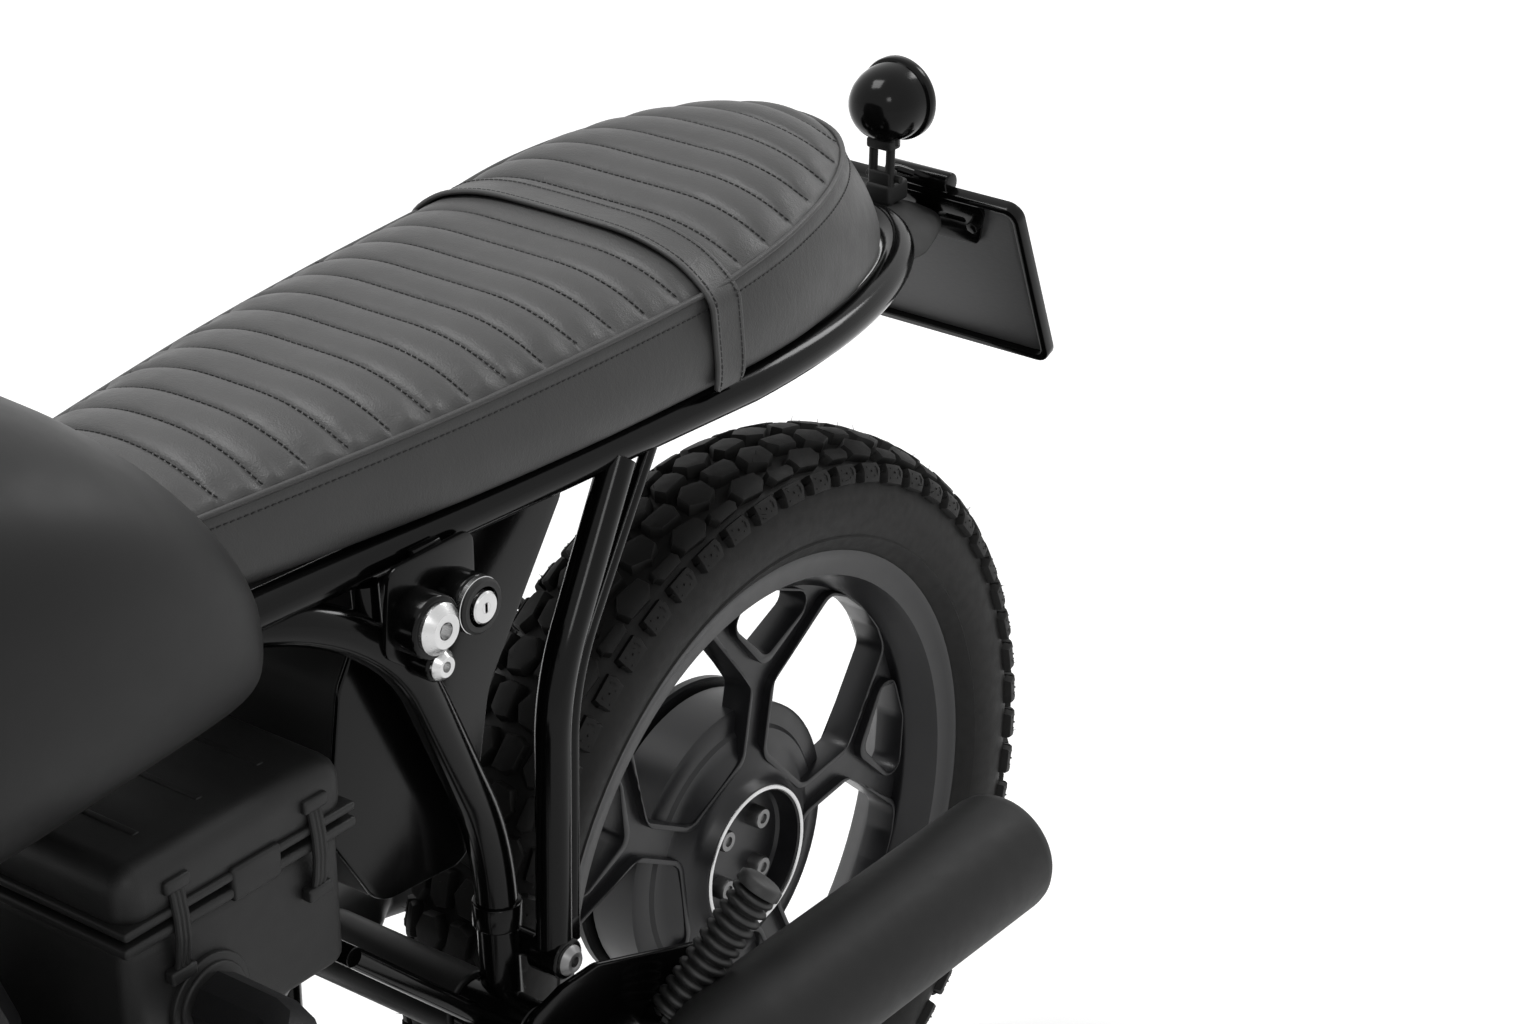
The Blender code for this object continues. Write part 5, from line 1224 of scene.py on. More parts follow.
def buildFrameTubes():
    parts = []
    for side in (-1, 1):
        path = onSide(tubes["arc"], side) + [steered(0.018, side * 0.018, -0.045)]
        parts.append(tubeShape("arc", roundCorners(path, tubes["arcBends"], 10), tubes["tubeRadius"], 7))
        parts.append(rodShape("trayStay", at(-0.373, side * 0.104, 0.418),
                              at(-0.504, side * 0.098, 0.538), 0.007, 20))
        parts.append(rodShape("sleeve", at(-0.3733, side * 0.1007, 0.498),
                              at(-0.3731, side * 0.1010, 0.516), 0.0164, 32, bevel=0.0012))
        parts.append(crossRod("armBoss", *tubes["armPivot"], side * 0.0868, side * 0.142, 0.021, 40,
                              bevel=0.0015))
        parts.append(crossRod("footBoss", *tubes["strutFoot"], side * 0.106, side * 0.1225, 0.009, 24))
        parts.append(rodShape("post", at(-0.478, side * 0.1025, 0.745), at(-0.478, side * 0.1000, 0.7855),
                              0.009, 24))
        for x in (-0.96, -0.79):
            mount = [(x - 0.026, 0.222), (x - 0.012, 0.335), (x + 0.012, 0.335), (x + 0.026, 0.222)]
            parts.append(panelShape("engineMount", roundOutline(mount, 0.004), 0.006,
                                    sidePlane(side * 0.1083)))
        lug = [(-0.494, 0.230), (-0.488, 0.172), (-0.452, 0.172), (-0.446, 0.230)]
        hole = [(-0.470 + 0.0104 * cos(a), 0.190 + 0.0104 * sin(a))
                for a in [2 * pi * i / 24 for i in range(24)]]
        parts.append(flatCurve("standLug", [roundOutline(lug, 0.010), hole], 0.003,
                               sidePlane(side * 0.109), 0.0005))
        gusset = [(-0.025, -0.060), (0.030, 0.010), (0.130, -0.025), (0.090, -0.045)]
        outline = [(steering["headX"] + x, steering["headZ"] + z) for x, z in gusset]
        parts.append(panelShape("gusset", roundOutline(outline, 0.006), 0.004, sidePlane(side * 0.012)))
    head = at(steering["headX"], 0, steering["headZ"] - 0.02)
    parts.append(rodShape("backbone", head, at(-0.62, 0, 0.800), tubes["backboneRadius"], 48,
                          bevel=0.002))
    parts.append(crossTube("shoulderTube", -0.645, 0.803, 0.058, 0.016))
    parts.append(crossTube("lowerCross", -0.705, 0.2298, 0.106, 0.010))
    parts.append(crossTube("lowerCross", -0.420, 0.2340, 0.106, 0.010))
    parts.append(crossTube("trayBar", -0.504, 0.538, 0.100, 0.007))
    profile = [(0.0167, -0.085), (0.027, -0.085), (0.028, -0.084), (0.0285, -0.072), (0.0265, -0.070),
               (0.0265, 0.070), (0.0285, 0.072), (0.028, 0.084), (0.027, 0.085), (0.0167, 0.085),
               (0.0167, -0.085)]
    parts.append(latheShape("headTube", profile, 48, steerPlace))
    finishParts(parts, "frameTubes", "gloss", ["frame"])


def railLoop():
    start, length, half = tubes["tail"]
    path = [at(-0.600, 0.088, tubes["railZ"])]
    path += [at(start + length * sin(pi / 2 * i / 24), half * cos(pi / 2 * i / 24), tubes["railZ"])
             for i in range(25)]
    return path + [Vector((p.x, -p.y, p.z)) for p in reversed(path[:-1])]


def buildSubframe():
    parts = [tubeShape("rail", railLoop(), tubes["railRadius"], 7)]
    for side in (-1, 1):
        parts.append(tubeShape("strut", roundCorners(onSide(tubes["strut"], side), 0.12, 12), 0.012, 7))
        parts.append(tubeShape("stay", roundCorners(onSide(tubes["stay"], side), 0.12, 12), 0.005, 4))
        parts.append(crossRod("foot", *tubes["strutFoot"], side * 0.123, side * 0.147, 0.014, 40,
                              bevel=0.0015))
        parts.append(boxAt("web", (0.026, 0.010, 0.020), (-0.349, side * 0.135, 0.492), 0.002))
    parts += [crossTube("crossTube", x, tubes["railZ"], 0.108, 0.009) for x in (-0.30, -0.02)]
    finishParts(parts, "seatRails", "gloss", ["rear_subframe"])


def boltHead(name, radius, height, place, finish="steel"):
    # a domed cap with a six-sided socket, its base at local z = 0
    recess = radius * 0.34
    profile = [(radius, 0.0), (radius, height * 0.30), (radius * 0.93, height * 0.48),
               (radius * 0.66, height), (recess * 1.25, height), (recess, height * 0.93)]
    made = latheShape(name, profile, 48, Matrix.Identity(4))
    socket = [(recess, height * 0.93), (recess * 0.98, height * 0.35), (0.00005, height * 0.35)]
    well = latheShape(name, socket, 6, Matrix.Identity(4))
    whole = smooth(joined([made, well], name), 30)
    moveMesh(whole, place)
    return finishPiece(whole, finishes[finish], "chassis")


def facingOut(x, z, y):
    # local Z points away from the machine on that side
    return Matrix.Translation(at(x, y, z)) @ Matrix.Rotation(pi / 2 if y < 0 else -pi / 2, 4, "X")


buildFrameTubes()
buildSubframe()
for side in (-1, 1):
    boltHead("strutBolt", 0.0105, 0.006, facingOut(*tubes["strutFoot"], side * 0.147), "darkSteel")
    boltHead("armBolt", 0.0125, 0.006, facingOut(*tubes["armPivot"], side * 0.142))
print("frame built")


# Battery box with its side covers, and the lock bracket

cover = {
    "outline": [(-0.444, 0.777), (-0.266, 0.777), (-0.352, 0.655), (-0.376, 0.540), (-0.462, 0.548),
                (-0.502, 0.615), (-0.486, 0.710)],
    "corners": [0.012, 0.012, 0.05, 0.02, 0.03, 0.03, 0.03],
    "half": 0.078,
}


def buildCovers():
    outline = roundOutline(cover["outline"], cover["corners"], 10)
    box = panelShape("batteryBox", outline, cover["half"] * 2, sidePlane(0), 0.002)
    hanger = boxAt("hanger", (0.020, 0.120, 0.0154), (-0.300, 0, 0.780), 0.002)
    finishParts([box, hanger], "batteryBox", "matte", ["battery_box"])
    for side, word in ((-1, "Left"), (1, "Right")):
        panel = panelShape("sideCover" + word, outline, 0.0040,
                           sidePlane(side * (cover["half"] + 0.0023)), 0.0)
        panel = bevelled(panel, 0.0017, 4)
        finishPiece(smooth(panel, 40), finishes["gloss"], "chassis",
                    ["side_cover_" + word.lower()])


# x and z of the big bolt, the key barrel and the small bolt
locks = {"big": (-0.462, 0.762), "key": (-0.425, 0.762), "small": (-0.458, 0.735)}


def buildLocks():
    # place, where it starts and ends in y, radius
    bosses = [("big", -0.1175, -0.1425, 0.0205), ("key", -0.1200, -0.1400, 0.0185),
              ("small", -0.1200, -0.1400, 0.0115)]
    parts = [crossRod("boss", *locks[place], inner, outer, radius, 48, bevel=0.0025)
             for place, inner, outer, radius in bosses]
    back = [(-0.486, 0.745), (-0.480, 0.800), (-0.405, 0.800), (-0.405, 0.748), (-0.455, 0.722)]
    parts.append(panelShape("bracket", roundOutline(back, 0.01), 0.004, sidePlane(-0.1203), 0.001))
    parts.append(boxAt("hook", (0.024, 0.006, 0.020), (-0.442, -0.1156, 0.792), 0.001))
    finishParts(parts, "lockBracket", "gloss", ["lock_bracket"])
    boltHead("coverBolt", 0.0165, 0.0075, facingOut(*locks["big"], -0.1425))
    boltHead("smallBolt", 0.0098, 0.0055, facingOut(*locks["small"], -0.1400))
    sleeve = [(0.0178, 0.0), (0.0178, 0.0045), (0.0160, 0.0060), (0.0128, 0.0060), (0.0128, 0.0040)]
    ring = latheShape("keyRing", [(0.0182, 0.0), (0.0182, 0.0030), (0.0172, 0.0036)], 64,
                      facingOut(*locks["key"], -0.1400))
    finishPiece(smooth(ring, 30), finishes["steel"], "chassis")
    barrel = latheShape("keyBarrel", sleeve, 64, facingOut(*locks["key"], -0.1402))
    finishPiece(smooth(barrel, 30), finishes["plastic"], "chassis")
    face = [(0.0104, 0.002), (0.0104, 0.0074), (0.0094, 0.0084), (0.0034, 0.0084)]
    plug = latheShape("keyFace", face, 64, facingOut(*locks["key"], -0.1400))
    slotWall = roundOutline([(-0.0011, -0.0033), (0.0011, -0.0033), (0.0011, 0.0033), (-0.0011, 0.0033)],
                            0.0008, 3)
    ringEdge = ringOutline(0.0036, 48)
    rimPlate = flatCurve("keySlot", [ringEdge, slotWall], 0.0006, facingOut(*locks["key"], -0.1478))
    finishParts([plug, rimPlate], "keyFace", "steel", angle=30)


buildCovers()
buildLocks()
print("covers built")


# Airbox, exhausts and the passenger footrests

airbox = {"x": -0.610, "half": 0.118, "top": 0.695, "bottom": 0.5503, "seam": 0.6475, "ductZ": 0.585}


def buildAirbox():
    x, half, top, low = airbox["x"], airbox["half"], airbox["top"], airbox["bottom"]
    seam, ductZ = airbox["seam"], airbox["ductZ"]
    body = boxAt("airboxBody", (0.176, half * 2 - 0.006, seam - low), (x, 0, (seam + low) / 2), 0.012, 5)
    flange = boxAt("flange", (0.188, half * 2 + 0.006, 0.007), (x, 0, seam + 0.001), 0.0022)
    lid = boxAt("lid", (0.182, half * 2 + 0.002, top - seam - 0.004), (x, 0, (top + seam) / 2 + 0.003),
                0.016, 5)
    lip = boxAt("lip", (0.187, half * 2 + 0.006, 0.006), (x, 0, seam + 0.012), 0.002)
    parts = [body, flange, lid, lip]
    for along in (-0.05, 0.0, 0.05):
        parts.append(boxAt("lidRib", (0.006, half * 1.5, 0.005), (x + along, 0, top - 0.0008), 0.0015))
    for side in (-1, 1):
        y = side * (half + 0.004)
        parts.append(crossRod("duct", x - 0.030, ductZ, side * (half - 0.018), y, 0.026, 48, bevel=0.002))
        parts.append(crossRod("ductRing", x - 0.030, ductZ, side * (half - 0.010), side * (half + 0.001),
                              0.031, 48, bevel=0.0015))
        parts.append(boxAt("tab", (0.040, 0.008, 0.022), (x + 0.010, side * half, seam + 0.006), 0.0025))
        # two rubber straps hold the lid down
        for place in (x - 0.052, x + 0.060):
            strap = [(0.0, 0.030), (0.0030, 0.022), (0.0052, 0.008), (0.0058, -0.006), (0.0040, -0.022),
                     (0.0, -0.032)]
            path = [at(place, side * (half - 0.001 + out), seam + up) for out, up in strap]
            band = tubeShape("clip", roundCorners(path, 0.02, 4), 0.0023, 3)
            parts.append(band)
            for off in (-0.0034, 0.0034):
                twin = band.copy()
                twin.data = band.data.copy()
                bpy.context.scene.collection.objects.link(twin)
                parts.append(moveMesh(twin, Matrix.Translation((off, 0, 0))))
            parts.append(boxAt("clipHead", (0.020, 0.008, 0.009),
                               (place, side * (half + 0.0005), seam + 0.029), 0.002))
            parts.append(boxAt("clipFoot", (0.020, 0.008, 0.009),
                               (place, side * (half + 0.0005), seam - 0.031), 0.002))
    for y in (-0.075, -0.025, 0.025, 0.075):
        parts.append(boxAt("endRib", (0.004, 0.004, 0.050), (x + 0.089, y, 0.600), 0.001))
    finishParts(parts, "airboxShell", "plastic", ["airbox"], angle=35)


exhaust = {
    "y": 0.210,
    "z": 0.388,
    "profile": [(0.0185, 0.002), (0.022, 0.0), (0.026, 0.010), (0.030, 0.020), (0.0385, 0.060),
                (0.0445, 0.090), (0.0460, 0.105), (0.0460, 0.4030), (0.0452, 0.4085), (0.0432, 0.4122),
                (0.0410, 0.4130), (0.0380, 0.4105), (0.0340, 0.4090), (0.0330, 0.4105), (0.0312, 0.4105),
                (0.0300, 0.4080), (0.0300, 0.3400), (0.0001, 0.3400)],
    "port": {-1: (-0.985, -0.305, 0.400), 1: (-0.945, 0.305, 0.400)},
    "portRoot": {-1: (-0.945, -0.305, 0.410), 1: (-0.905, 0.305, 0.410)},
    "cylinderX": {-1: -0.885, 1: -0.845},
}


def buildExhausts():
    for side, word in ((-1, "Left"), (1, "Right")):
        port, root = at(*exhaust["port"][side]), at(*exhaust["portRoot"][side])
        way = (port - root).normalized()
        y, z = side * exhaust["y"], exhaust["z"]
        path = [port + way * 0.0003, port + way * 0.065,
                at(exhaust["cylinderX"][side] - 0.175, side * 0.215, 0.200),
                at(-0.86, side * 0.172, 0.165), at(-0.60, side * 0.172, 0.172),
                at(-0.40, y - side * 0.002, z - 0.016), at(-0.34, y, z)]
        pipe = tubeShape("pipe", roundCorners(path, [0.05, 0.07, 0.08, 0.15, 0.06], 8), 0.019, 7)
        nut = rodShape("nut", port + way * 0.001, port + way * 0.022, 0.0300, 36, bevel=0.002)
        band = [(0.0235, -0.012), (0.0265, -0.010), (0.0265, 0.010), (0.0235, 0.012)]
        clampRing = latheShape("clampRing", band, 64, facingBack(-0.345, y, z))
        can = latheShape("can", exhaust["profile"], 96, facingBack(-0.36, y, z))
        whole = smooth(joined([pipe, nut, clampRing, can], "exhaust" + word), 40)
        finishPiece(whole, finishes["matte"], "chassis", ["exhaust_" + word.lower()])


footrest = {
    "plate": [(-0.402, 0.452), (-0.365, 0.462), (-0.330, 0.462), (-0.205, 0.418), (-0.200, 0.392),
              (-0.275, 0.375), (-0.395, 0.415)],
    "corners": [0.015, 0.01, 0.02, 0.012, 0.012, 0.02, 0.015],
    "root": (-0.278, 0.162, 0.398),
    "tip": (-0.218, 0.196, 0.487),
    "ribs": 13,
}


def buildFootrests():
    for side, word in ((-1, "Left"), (1, "Right")):
        root, tip = onSide([footrest["root"], footrest["tip"]], side)
        y = side * exhaust["y"]
        outline = roundOutline(footrest["plate"], footrest["corners"], 8)
        sheet = panelShape("footrestPlate", outline, 0.006, sidePlane(side * 0.1455), 0.0012)
        boss = crossRod("boss", -0.222, 0.402, side * 0.146, side * 0.1665, 0.009, 32, bevel=0.001)
        pivot = rodShape("pivot", at(-0.278, side * 0.146, 0.396), at(-0.278, side * 0.170, 0.402), 0.010,
                         32, bevel=0.001)
        room = rodShape("room", at(-0.7, y, exhaust["z"]), at(0.3, y, exhaust["z"]), 0.0475, 96)
        metal = smooth(joined([sheet, boss, pivot], "footrest" + word), 40)
        withModifier(metal, "BOOLEAN", operation="DIFFERENCE", object=room, solver="EXACT")
        bpy.data.objects.remove(room)
        finishPiece(smooth(metal, 40), finishes["gloss"], "chassis",
                    ["passenger_footrest_" + word.lower()])
        # the rubber is a core with rings round it
        line = tip - root
        length = line.length
        turn = aimed(root, line)
        profile = [(0.0001, 0.0), (0.0105, 0.0), (0.0120, 0.003)]
        pitch = (length - 0.010) / footrest["ribs"]
        for i in range(footrest["ribs"]):
            start = 0.004 + i * pitch
            profile += [(0.0112, start), (0.0152, start + 0.30 * pitch), (0.0158, start + 0.50 * pitch),
                        (0.0152, start + 0.72 * pitch), (0.0112, start + 0.95 * pitch)]
        profile += [(0.0165, length - 0.005), (0.0160, length + 0.001), (0.0125, length + 0.003),
                    (0.0001, length + 0.0035)]
        rubber = latheShape("footRubber" + word, profile, 40, turn)
        finishPiece(smooth(rubber, 60), finishes["rubber"], "chassis")


buildAirbox()
buildExhausts()
buildFootrests()
print("exhausts built")


# Tail: guard, lamp, plate holder and plate

tail = {
    "lampAt": (0.205, 0.8745),
    "plateTop": (0.235, 0.800),
    "plateTilt": radians(21),
    "plateSize": (0.177, 0.149),
}


def tailHeight(x, y):
    return 0.8015 - 4.6 * max(0.0, x - 0.17) ** 2 - 8.8 * y * y


def buildTailGuard():
    shape = bmesh.new()
    rows, gap = [], 0.0131
    start, length, half = tubes["tail"]
    for i in range(33):
        y = 0.052 * sin(pi / 2 * (2 * i / 32 - 1))
        front = start + (length + gap) * sqrt(1 - (y / (half + gap)) ** 2)
        back = 0.130 + 0.106 * sqrt(1 - (y / 0.056) ** 2)
        spots = [front + (back - front) * j / 12 for j in range(13)]
        rows.append([shape.verts.new(at(x, y, tailHeight(x, y))) for x in spots])
    skin(shape, rows, False)
    guard = shapeObject("tailGuard", shape)
    if guard.data.polygons[0].normal.z < 0:
        guard.data.flip_normals()
    withModifier(guard, "SOLIDIFY", thickness=0.003, offset=-1)
    bevelled(guard, 0.001)
    lampX, lampZ = tail["lampAt"]
    # two posts stand in a clamp on the rail, and a bolt passes through them
    posts = [rodShape("post", at(lampX - 0.021, y, 0.7995), at(lampX - 0.019, y, lampZ - 0.022), 0.0034,
                      24) for y in (-0.0075, 0.0075)]
    block = boxAt("lampClamp", (0.026, 0.022, 0.016), (lampX - 0.0135, 0, 0.8075), 0.003)
    cross = crossRod("clampBolt", lampX - 0.0165, 0.819, -0.015, 0.015, 0.0028, 20, bevel=0.0005)
    ears = boxAt("ears", (0.012, 0.019, 0.012), (lampX - 0.0185, 0, 0.819), 0.002)
    saddle = boxAt("saddle", (0.014, 0.022, 0.008), (lampX - 0.018, 0, lampZ - 0.0290), 0.002)
    whole = joined([guard, *posts, block, cross, ears, saddle], "tailGuard")
    finishPiece(smooth(whole, 40), finishes["matte"], "chassis", ["tail_guard"])
    bowl = [(0.0001, -0.0430), (0.0060, -0.0426), (0.0118, -0.0408), (0.0172, -0.0372), (0.0218, -0.0322),
            (0.0252, -0.0260), (0.0275, -0.0190), (0.0286, -0.0120), (0.0288, -0.0042), (0.0306, -0.0034),
            (0.0312, -0.0020), (0.0312, 0.0030), (0.0300, 0.0048), (0.0284, 0.0052)]
    shell = latheShape("lampShell", bowl, 72, facingBack(lampX, 0, lampZ))
    screws = [rodShape("lampFoot", at(lampX - 0.016, y, lampZ - 0.030),
                       at(lampX - 0.016, y, lampZ - 0.024), 0.0045, 24, bevel=0.0008)
              for y in (-0.0075, 0.0075)]
    finishParts([shell, *screws], "lampShell", "gloss", ["tail_lamp"])
    lens = [(0.0285, 0.0040), (0.0262, 0.0070), (0.0200, 0.0098), (0.0100, 0.0115), (0.0001, 0.0120)]
    glass = latheShape("lampLens", lens, 72, facingBack(lampX, 0, lampZ))
    finishPiece(smooth(glass, 60), finishes["glass"], "chassis")


def buildPlate():
    turn = Matrix.Rotation(pi / 2 - tail["plateTilt"], 4, "Y") @ Matrix.Rotation(pi / 2, 4, "Z")
    width, height = tail["plateSize"]
    topX, topZ = tail["plateTop"]
    reach = height / 2
    middle = at(topX + reach * sin(tail["plateTilt"]), 0, topZ - reach * cos(tail["plateTilt"]))
    flat = Matrix.Translation(middle) @ turn

    def rectangle(x, y, radius):
        return roundOutline([(-x, -y), (x, -y), (x, y), (-x, y)], radius, 6)

    rimX, rimY = width / 2 * 0.93, height / 2 * 0.92
    channel = flatCurve("channel", [rectangle(width / 2, height / 2, 0.012),
                                    rectangle(rimX, rimY, 0.008)], 0.005, flat, 0.0012)
    tongue = roundOutline([(-0.045, 0.030), (0.045, 0.030), (0.060, 0.0715), (-0.060, 0.0715)], 0.008, 4)
    slots = [roundOutline([(x - 0.009, 0.050), (x + 0.009, 0.050), (x + 0.009, 0.055),
                           (x - 0.009, 0.055)], 0.0024, 3) for x in (-0.030, 0.030)]
    backing = flatCurve("backing", [tongue, *slots], 0.0015, flat @ Matrix.Translation((0, 0, -0.0030)),
                        0.0003)
    armAt = at(0.225, 0, tailHeight(0.225, 0) - 0.0094)
    arm = boxShape("arm", (0.044, 0.024, 0.005),
                   Matrix.Translation(armAt) @ Matrix.Rotation(radians(26.8), 4, "Y"), 0.0015)
    lampEnds = [flat @ Vector((x, height / 2 + 0.005, 0.002)) for x in (-0.028, 0.028)]
    lamp = rodShape("plateLamp", *lampEnds, 0.008, 40, bevel=0.0015)
    studs = [rodShape("stud", flat @ Vector((x, 0.052, -0.0110)), flat @ Vector((x, 0.052, -0.0040)),
                      0.0050, 6, bevel=0.0006) for x in (-0.048, 0.048)]
    route = [at(0.196, 0.008, 0.812), at(0.215, 0.012, 0.816), lampEnds[0].lerp(lampEnds[1], 0.5)]
    wire = tubeShape("lampPipe", roundCorners(route, 0.012, 6), 0.0032, 4)
    whole = smooth(joined([channel, backing, arm, lamp, *studs, wire], "plateHolder"), 40)
    finishPiece(whole, finishes["gloss"], "chassis", ["plate_holder"])
    sheet = panelShape("plateSheet", rectangle(rimX - 0.0003, rimY - 0.0003, 0.008), 0.002,
                       flat @ Matrix.Translation((0, 0, 0.0012)), 0.0004)
    finishPiece(smooth(sheet, 40), finishes["plate"], "chassis", ["number_plate"])


buildTailGuard()
buildPlate()
print("tail built")


# The drive and the shock absorber

def buildDrive():
    elbow, joint = at(-0.296, 0.101, 0.410), at(-0.150, 0.112, 0.370)
    way = (joint - elbow).normalized()
    path = roundCorners([at(-0.385, 0.050, 0.435), at(-0.352, 0.058, 0.431), elbow, joint], [0.04, 0.04],
                        8)
    arm = tubeShape("armTube", path, 0.026, 9)
    pivot = crossRod("armPivot", *tubes["armPivot"], -0.0865, 0.0865, 0.024, 48, bevel=0.002)
    flange = rodShape("armFlange", joint - way * 0.010, joint - way * 0.0002, 0.034, 48, bevel=0.002)
    finishParts([arm, pivot, flange], "armTube", "satin", ["swingarm"])
    profile = [(0.0001, 0.0230), (0.0195, 0.0230), (0.0200, 0.0240), (0.0200, 0.0460), (0.0470, 0.0465),
               (0.0480, 0.0455), (0.0620, 0.0455), (0.0630, 0.0465), (0.0850, 0.0465), (0.0860, 0.0455),
               (0.1180, 0.0455), (0.1200, 0.0475), (0.1200, 0.0530), (0.1185, 0.0545), (0.0960, 0.0600),
               (0.0965, 0.0640), (0.0985, 0.0700), (0.0985, 0.1080), (0.0960, 0.1140), (0.0810, 0.1370),
               (0.0780, 0.1395), (0.0420, 0.1495), (0.0400, 0.1510), (0.0001, 0.1520)]
    case = latheShape("driveCase", profile, 96, across(0, rearAxleZ))
    neck = rodShape("driveNeck", joint + way * 0.0003, joint + way * 0.09, 0.036, 48, bevel=0.002)
    lug = crossRod("shockLug", -0.085, 0.400, 0.105, 0.145, 0.018, 40, bevel=0.002)
    parts = [case, neck, lug]
    bolts, circle = 8, 0.087
    for i in range(bolts):
        angle = 2 * pi * i / bolts
        x, z = circle * cos(angle), rearAxleZ + circle * sin(angle)
        parts.append(crossRod("caseBolt", x, z, 0.120, 0.134, 0.0060, 6, bevel=0.0006))
    finishParts(parts, "driveCase", "cast", ["final_drive"])


def buildShock():
    low, high = at(-0.085, 0.126, 0.422), at(-0.178, 0.126, 0.7814)
    line = high - low
    length = line.length
    place = aimed(low, line)
    profile = [(0.0001, 0.0), (0.0135, 0.0), (0.0140, 0.001), (0.0140, 0.030), (0.0255, 0.033),
               (0.0265, 0.035), (0.0265, 0.041), (0.0165, 0.043), (0.0165, 0.200), (0.0060, 0.202),
               (0.0060, length - 0.046), (0.0265, length - 0.045), (0.0270, length - 0.044),
               (0.0270, length - 0.026), (0.0255, length - 0.024), (0.0140, length - 0.020),
               (0.0140, length), (0.0001, length)]
    body = latheShape("shockBody", profile, 48, place)
    coils, start, end = 8, 0.043, length - 0.047
    path = []
    for i in range(coils * 20 + 1):
        angle = 2 * pi * i / 20
        rise = start + 0.004 + (end - start - 0.008) * i / (coils * 20)
        path.append(place @ Vector((0.0245 * cos(angle), 0.0245 * sin(angle), rise)))
    spring = tubeShape("shockSpring", path, 0.0042, 4)
    finishParts([body, spring], "shockBody", "satin", ["shock_absorber"], angle=50)


buildDrive()
buildShock()
print("drive built")


# Hub bolts and the bright ring of the rear wheel

def buildHubs():
    bolt = [(0.0085, 0.0), (0.0085, 0.010), (0.0075, 0.0120), (0.0040, 0.0120), (0.0036, 0.0100),
            (0.0001, 0.0100)]
    circle = 0.030
    for i in range(4):
        angle = radians(45 + 90 * i)
        x, z = circle * cos(angle), rearAxleZ + circle * sin(angle)
        nut = latheShape("wheelBolt", bolt, 32, facingOut(x, z, -0.0040))
        finishPiece(smooth(nut, 35), finishes["darkSteel"], "rear_wheel")
    ring = [(0.0545, 0.0), (0.0545, 0.0012), (0.0552, 0.0018), (0.0574, 0.0018), (0.0580, 0.0012),
            (0.0580, 0.0)]
    made = smooth(latheShape("hubRing", ring, 96, facingOut(0, rearAxleZ, -0.0246)), 35)
    finishPiece(made, finishes["steel"], "rear_wheel")


buildHubs()

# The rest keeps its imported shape, with rounded edges
restOf = {
    "chassis": {
        "cast": ["crankcase", "gearbox", "cylinder_left", "cylinder_right", "rocker_cover_left",
                 "rocker_cover_right", "carburettor_left", "carburettor_right"],
        "satin": ["fuel_cap"],
        "rubber": ["footpeg_left", "footpeg_right"],
    },
    "steering": {
        "satin": ["lower_clamp", "upper_clamp", "front_mudguard", "headlight", "handlebar",
                  "clutch_lever", "brake_lever", "speedometer"],
        "matte": ["brake_caliper"],
        "cast": ["fork_leg_left", "fork_leg_right"],
        "rubber": ["grip_left", "grip_right"],
        "steel": ["front_axle"],
        "glass": ["headlight_glass"],
    },
    "front_wheel": {"steel": ["front_disc"]},
    "stand": {"gloss": ["centre_stand"]},
}
for body, groups in restOf.items():
    for finishName, nodeNames in groups.items():
        for nodeName in nodeNames:
            finishPiece(softenedCopy(nodeName, 0.0009, 40), finishes[finishName], body,
                        [nodeName])
print("rest rounded")


# Studio: a pale floor, a white world, soft lamps and the camera at the photograph's angle

studio = {
    "cameraAt": (-1.1358, -1.4466, 1.7567),
    "turn": 52.819,  # degrees from +Y towards +X
    "tilt": 25.789,  # degrees below the horizon
    "lens": 85.37,
    "floorSide": 60.0,
    "worldLight": 0.22,
    "floorColour": (0.82, 0.82, 0.82),
    # distance and glow near by, then far off, where the lamps don't reach
    "glow": (1.0, 0.55, 4.0, 0.82),
    # name, place, aims at, size, power
    "lamps": [
        ("keyLamp", (-1.6, -3.0, 3.4), (0.4, 0, 0.7), 0.9, 20),
        ("tailLamp", (3.2, -0.6, 2.6), (0.6, 0, 0.7), 0.8, 22),
        ("topLamp", (0.2, 0.8, 3.6), (0.3, 0, 0.8), 1.3, 58),
    ],
}


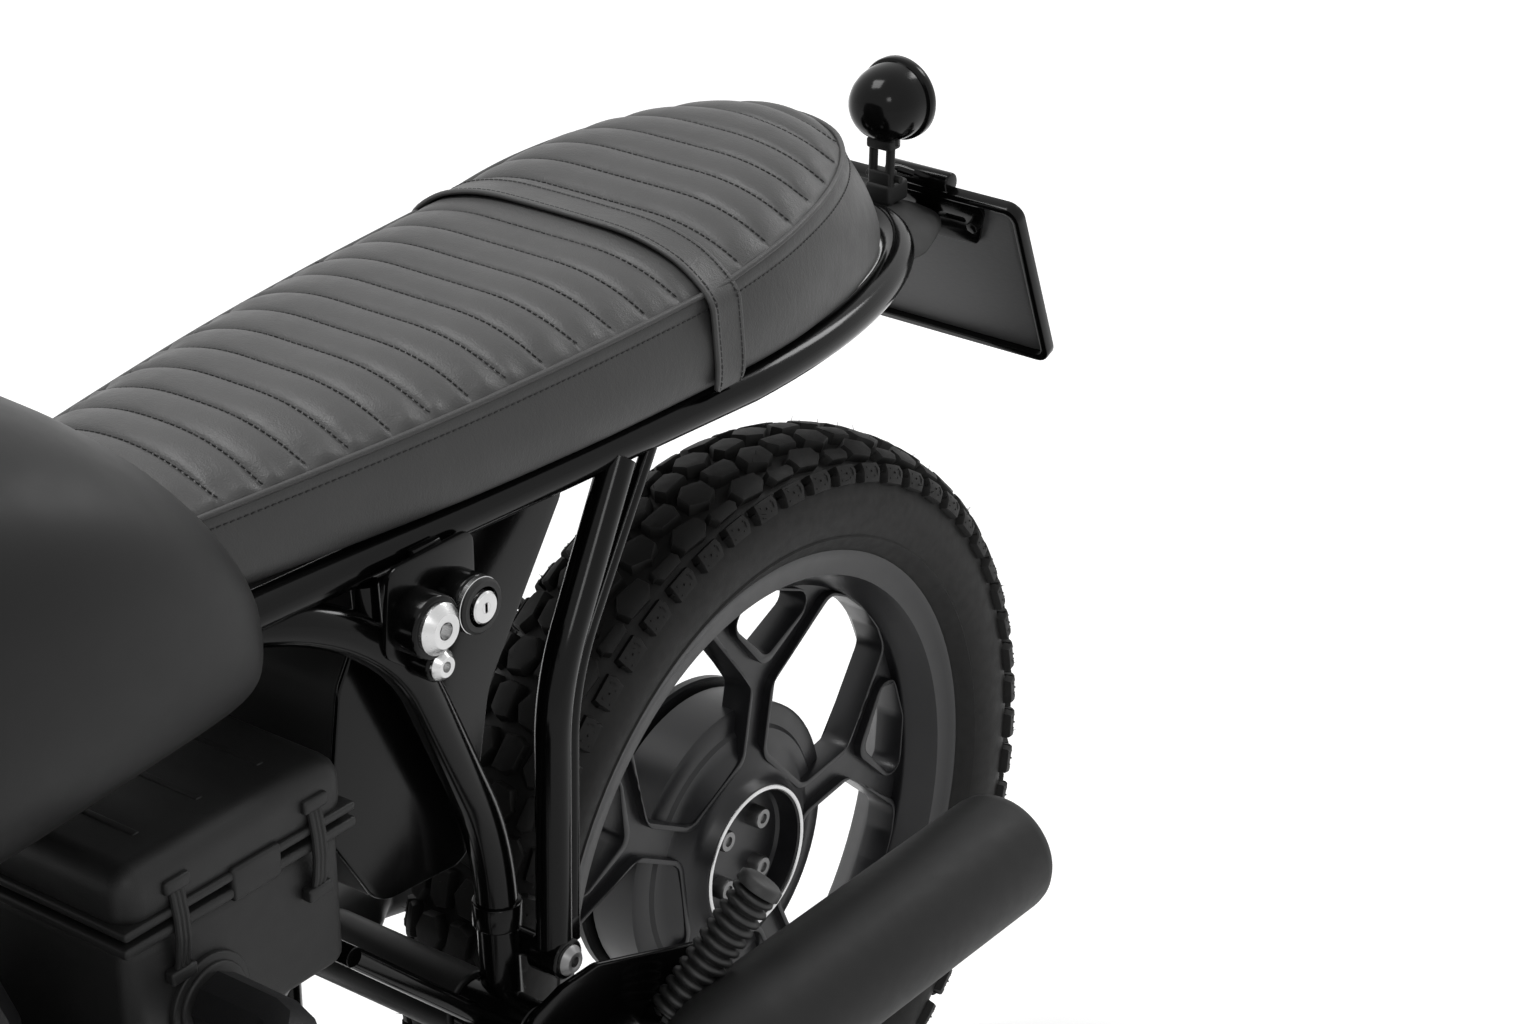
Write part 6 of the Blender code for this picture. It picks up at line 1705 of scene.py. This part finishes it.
def buildStudio():
    bpy.ops.object.camera_add(location=studio["cameraAt"])
    camera = takeNew("camera")
    camera.rotation_euler = (radians(90 - studio["tilt"]), 0, -radians(studio["turn"]))
    camera.data.sensor_width = 36
    camera.data.lens = studio["lens"]
    camera.data.clip_end = 200
    bpy.context.scene.camera = camera

    bpy.ops.mesh.primitive_plane_add(size=studio["floorSide"], location=(0, 0, 0))
    floor = takeNew("floor")
    paper = Finish("floorPaper", studio["floorColour"], 0.9, Specular_IOR_Level=0.1)
    seenDirect = paper.node("LightPath")
    seenGlossy = paper.node("LightPath", output="Is Glossy Ray")
    seenThrough = paper.node("LightPath", output="Is Transmission Ray")
    shown = paper.node("Math", {"operation": "MAXIMUM"}, {0: seenDirect, 1: seenGlossy})
    shown = paper.node("Math", {"operation": "MAXIMUM"}, {0: shown, 1: seenThrough})
    near, nearGlow, far, farGlow = studio["glow"]
    distance = paper.node("VectorMath", {"operation": "LENGTH"}, {0: paper.place()}, 1)
    strength = paper.node("MapRange", {}, {0: distance, 1: near, 2: far, 3: nearGlow, 4: farGlow})
    glow = paper.node("Emission", {}, {"Color": (1, 1, 1, 1), "Strength": strength})
    matte = Wire(paper, paper.shader.outputs[0])
    both = paper.node("AddShader", {}, {0: matte, 1: glow})
    mixed = paper.node("MixShader", {}, {0: shown, 1: matte, 2: both})
    paper.tree.links.new(mixed.socket, paper.tree.nodes["Material Output"].inputs["Surface"])
    floor.data.materials.append(paper.material)

    world = bpy.data.worlds.new("studioWorld")
    bpy.context.scene.world = world
    world.use_nodes = True
    tree = world.node_tree
    background = tree.nodes["Background"]
    light = tree.nodes.new("ShaderNodeLightPath")
    kinds = [light.outputs["Is Camera Ray"]]
    for ray in ("Is Glossy Ray", "Is Transmission Ray"):
        either = tree.nodes.new("ShaderNodeMath")
        either.operation = "MAXIMUM"
        tree.links.new(kinds[-1], either.inputs[0])
        tree.links.new(light.outputs[ray], either.inputs[1])
        kinds.append(either.outputs[0])
    strength = tree.nodes.new("ShaderNodeMix")
    strength.inputs[2].default_value = studio["worldLight"]
    strength.inputs[3].default_value = 1.0
    tree.links.new(kinds[-1], strength.inputs[0])
    tree.links.new(strength.outputs[0], background.inputs["Strength"])
    background.inputs["Color"].default_value = (1, 1, 1, 1)

    for name, place, aim, size, power in studio["lamps"]:
        bpy.ops.object.light_add(type="AREA", location=place)
        lamp = takeNew(name)
        lamp.data.shape = "SQUARE"
        lamp.data.size = size
        lamp.data.energy = power
        lamp.rotation_euler = (Vector(aim) - Vector(place)).to_track_quat("-Z", "Y").to_euler()

    bpy.context.scene.view_settings.view_transform = "Standard"


buildStudio()
print("studio built")
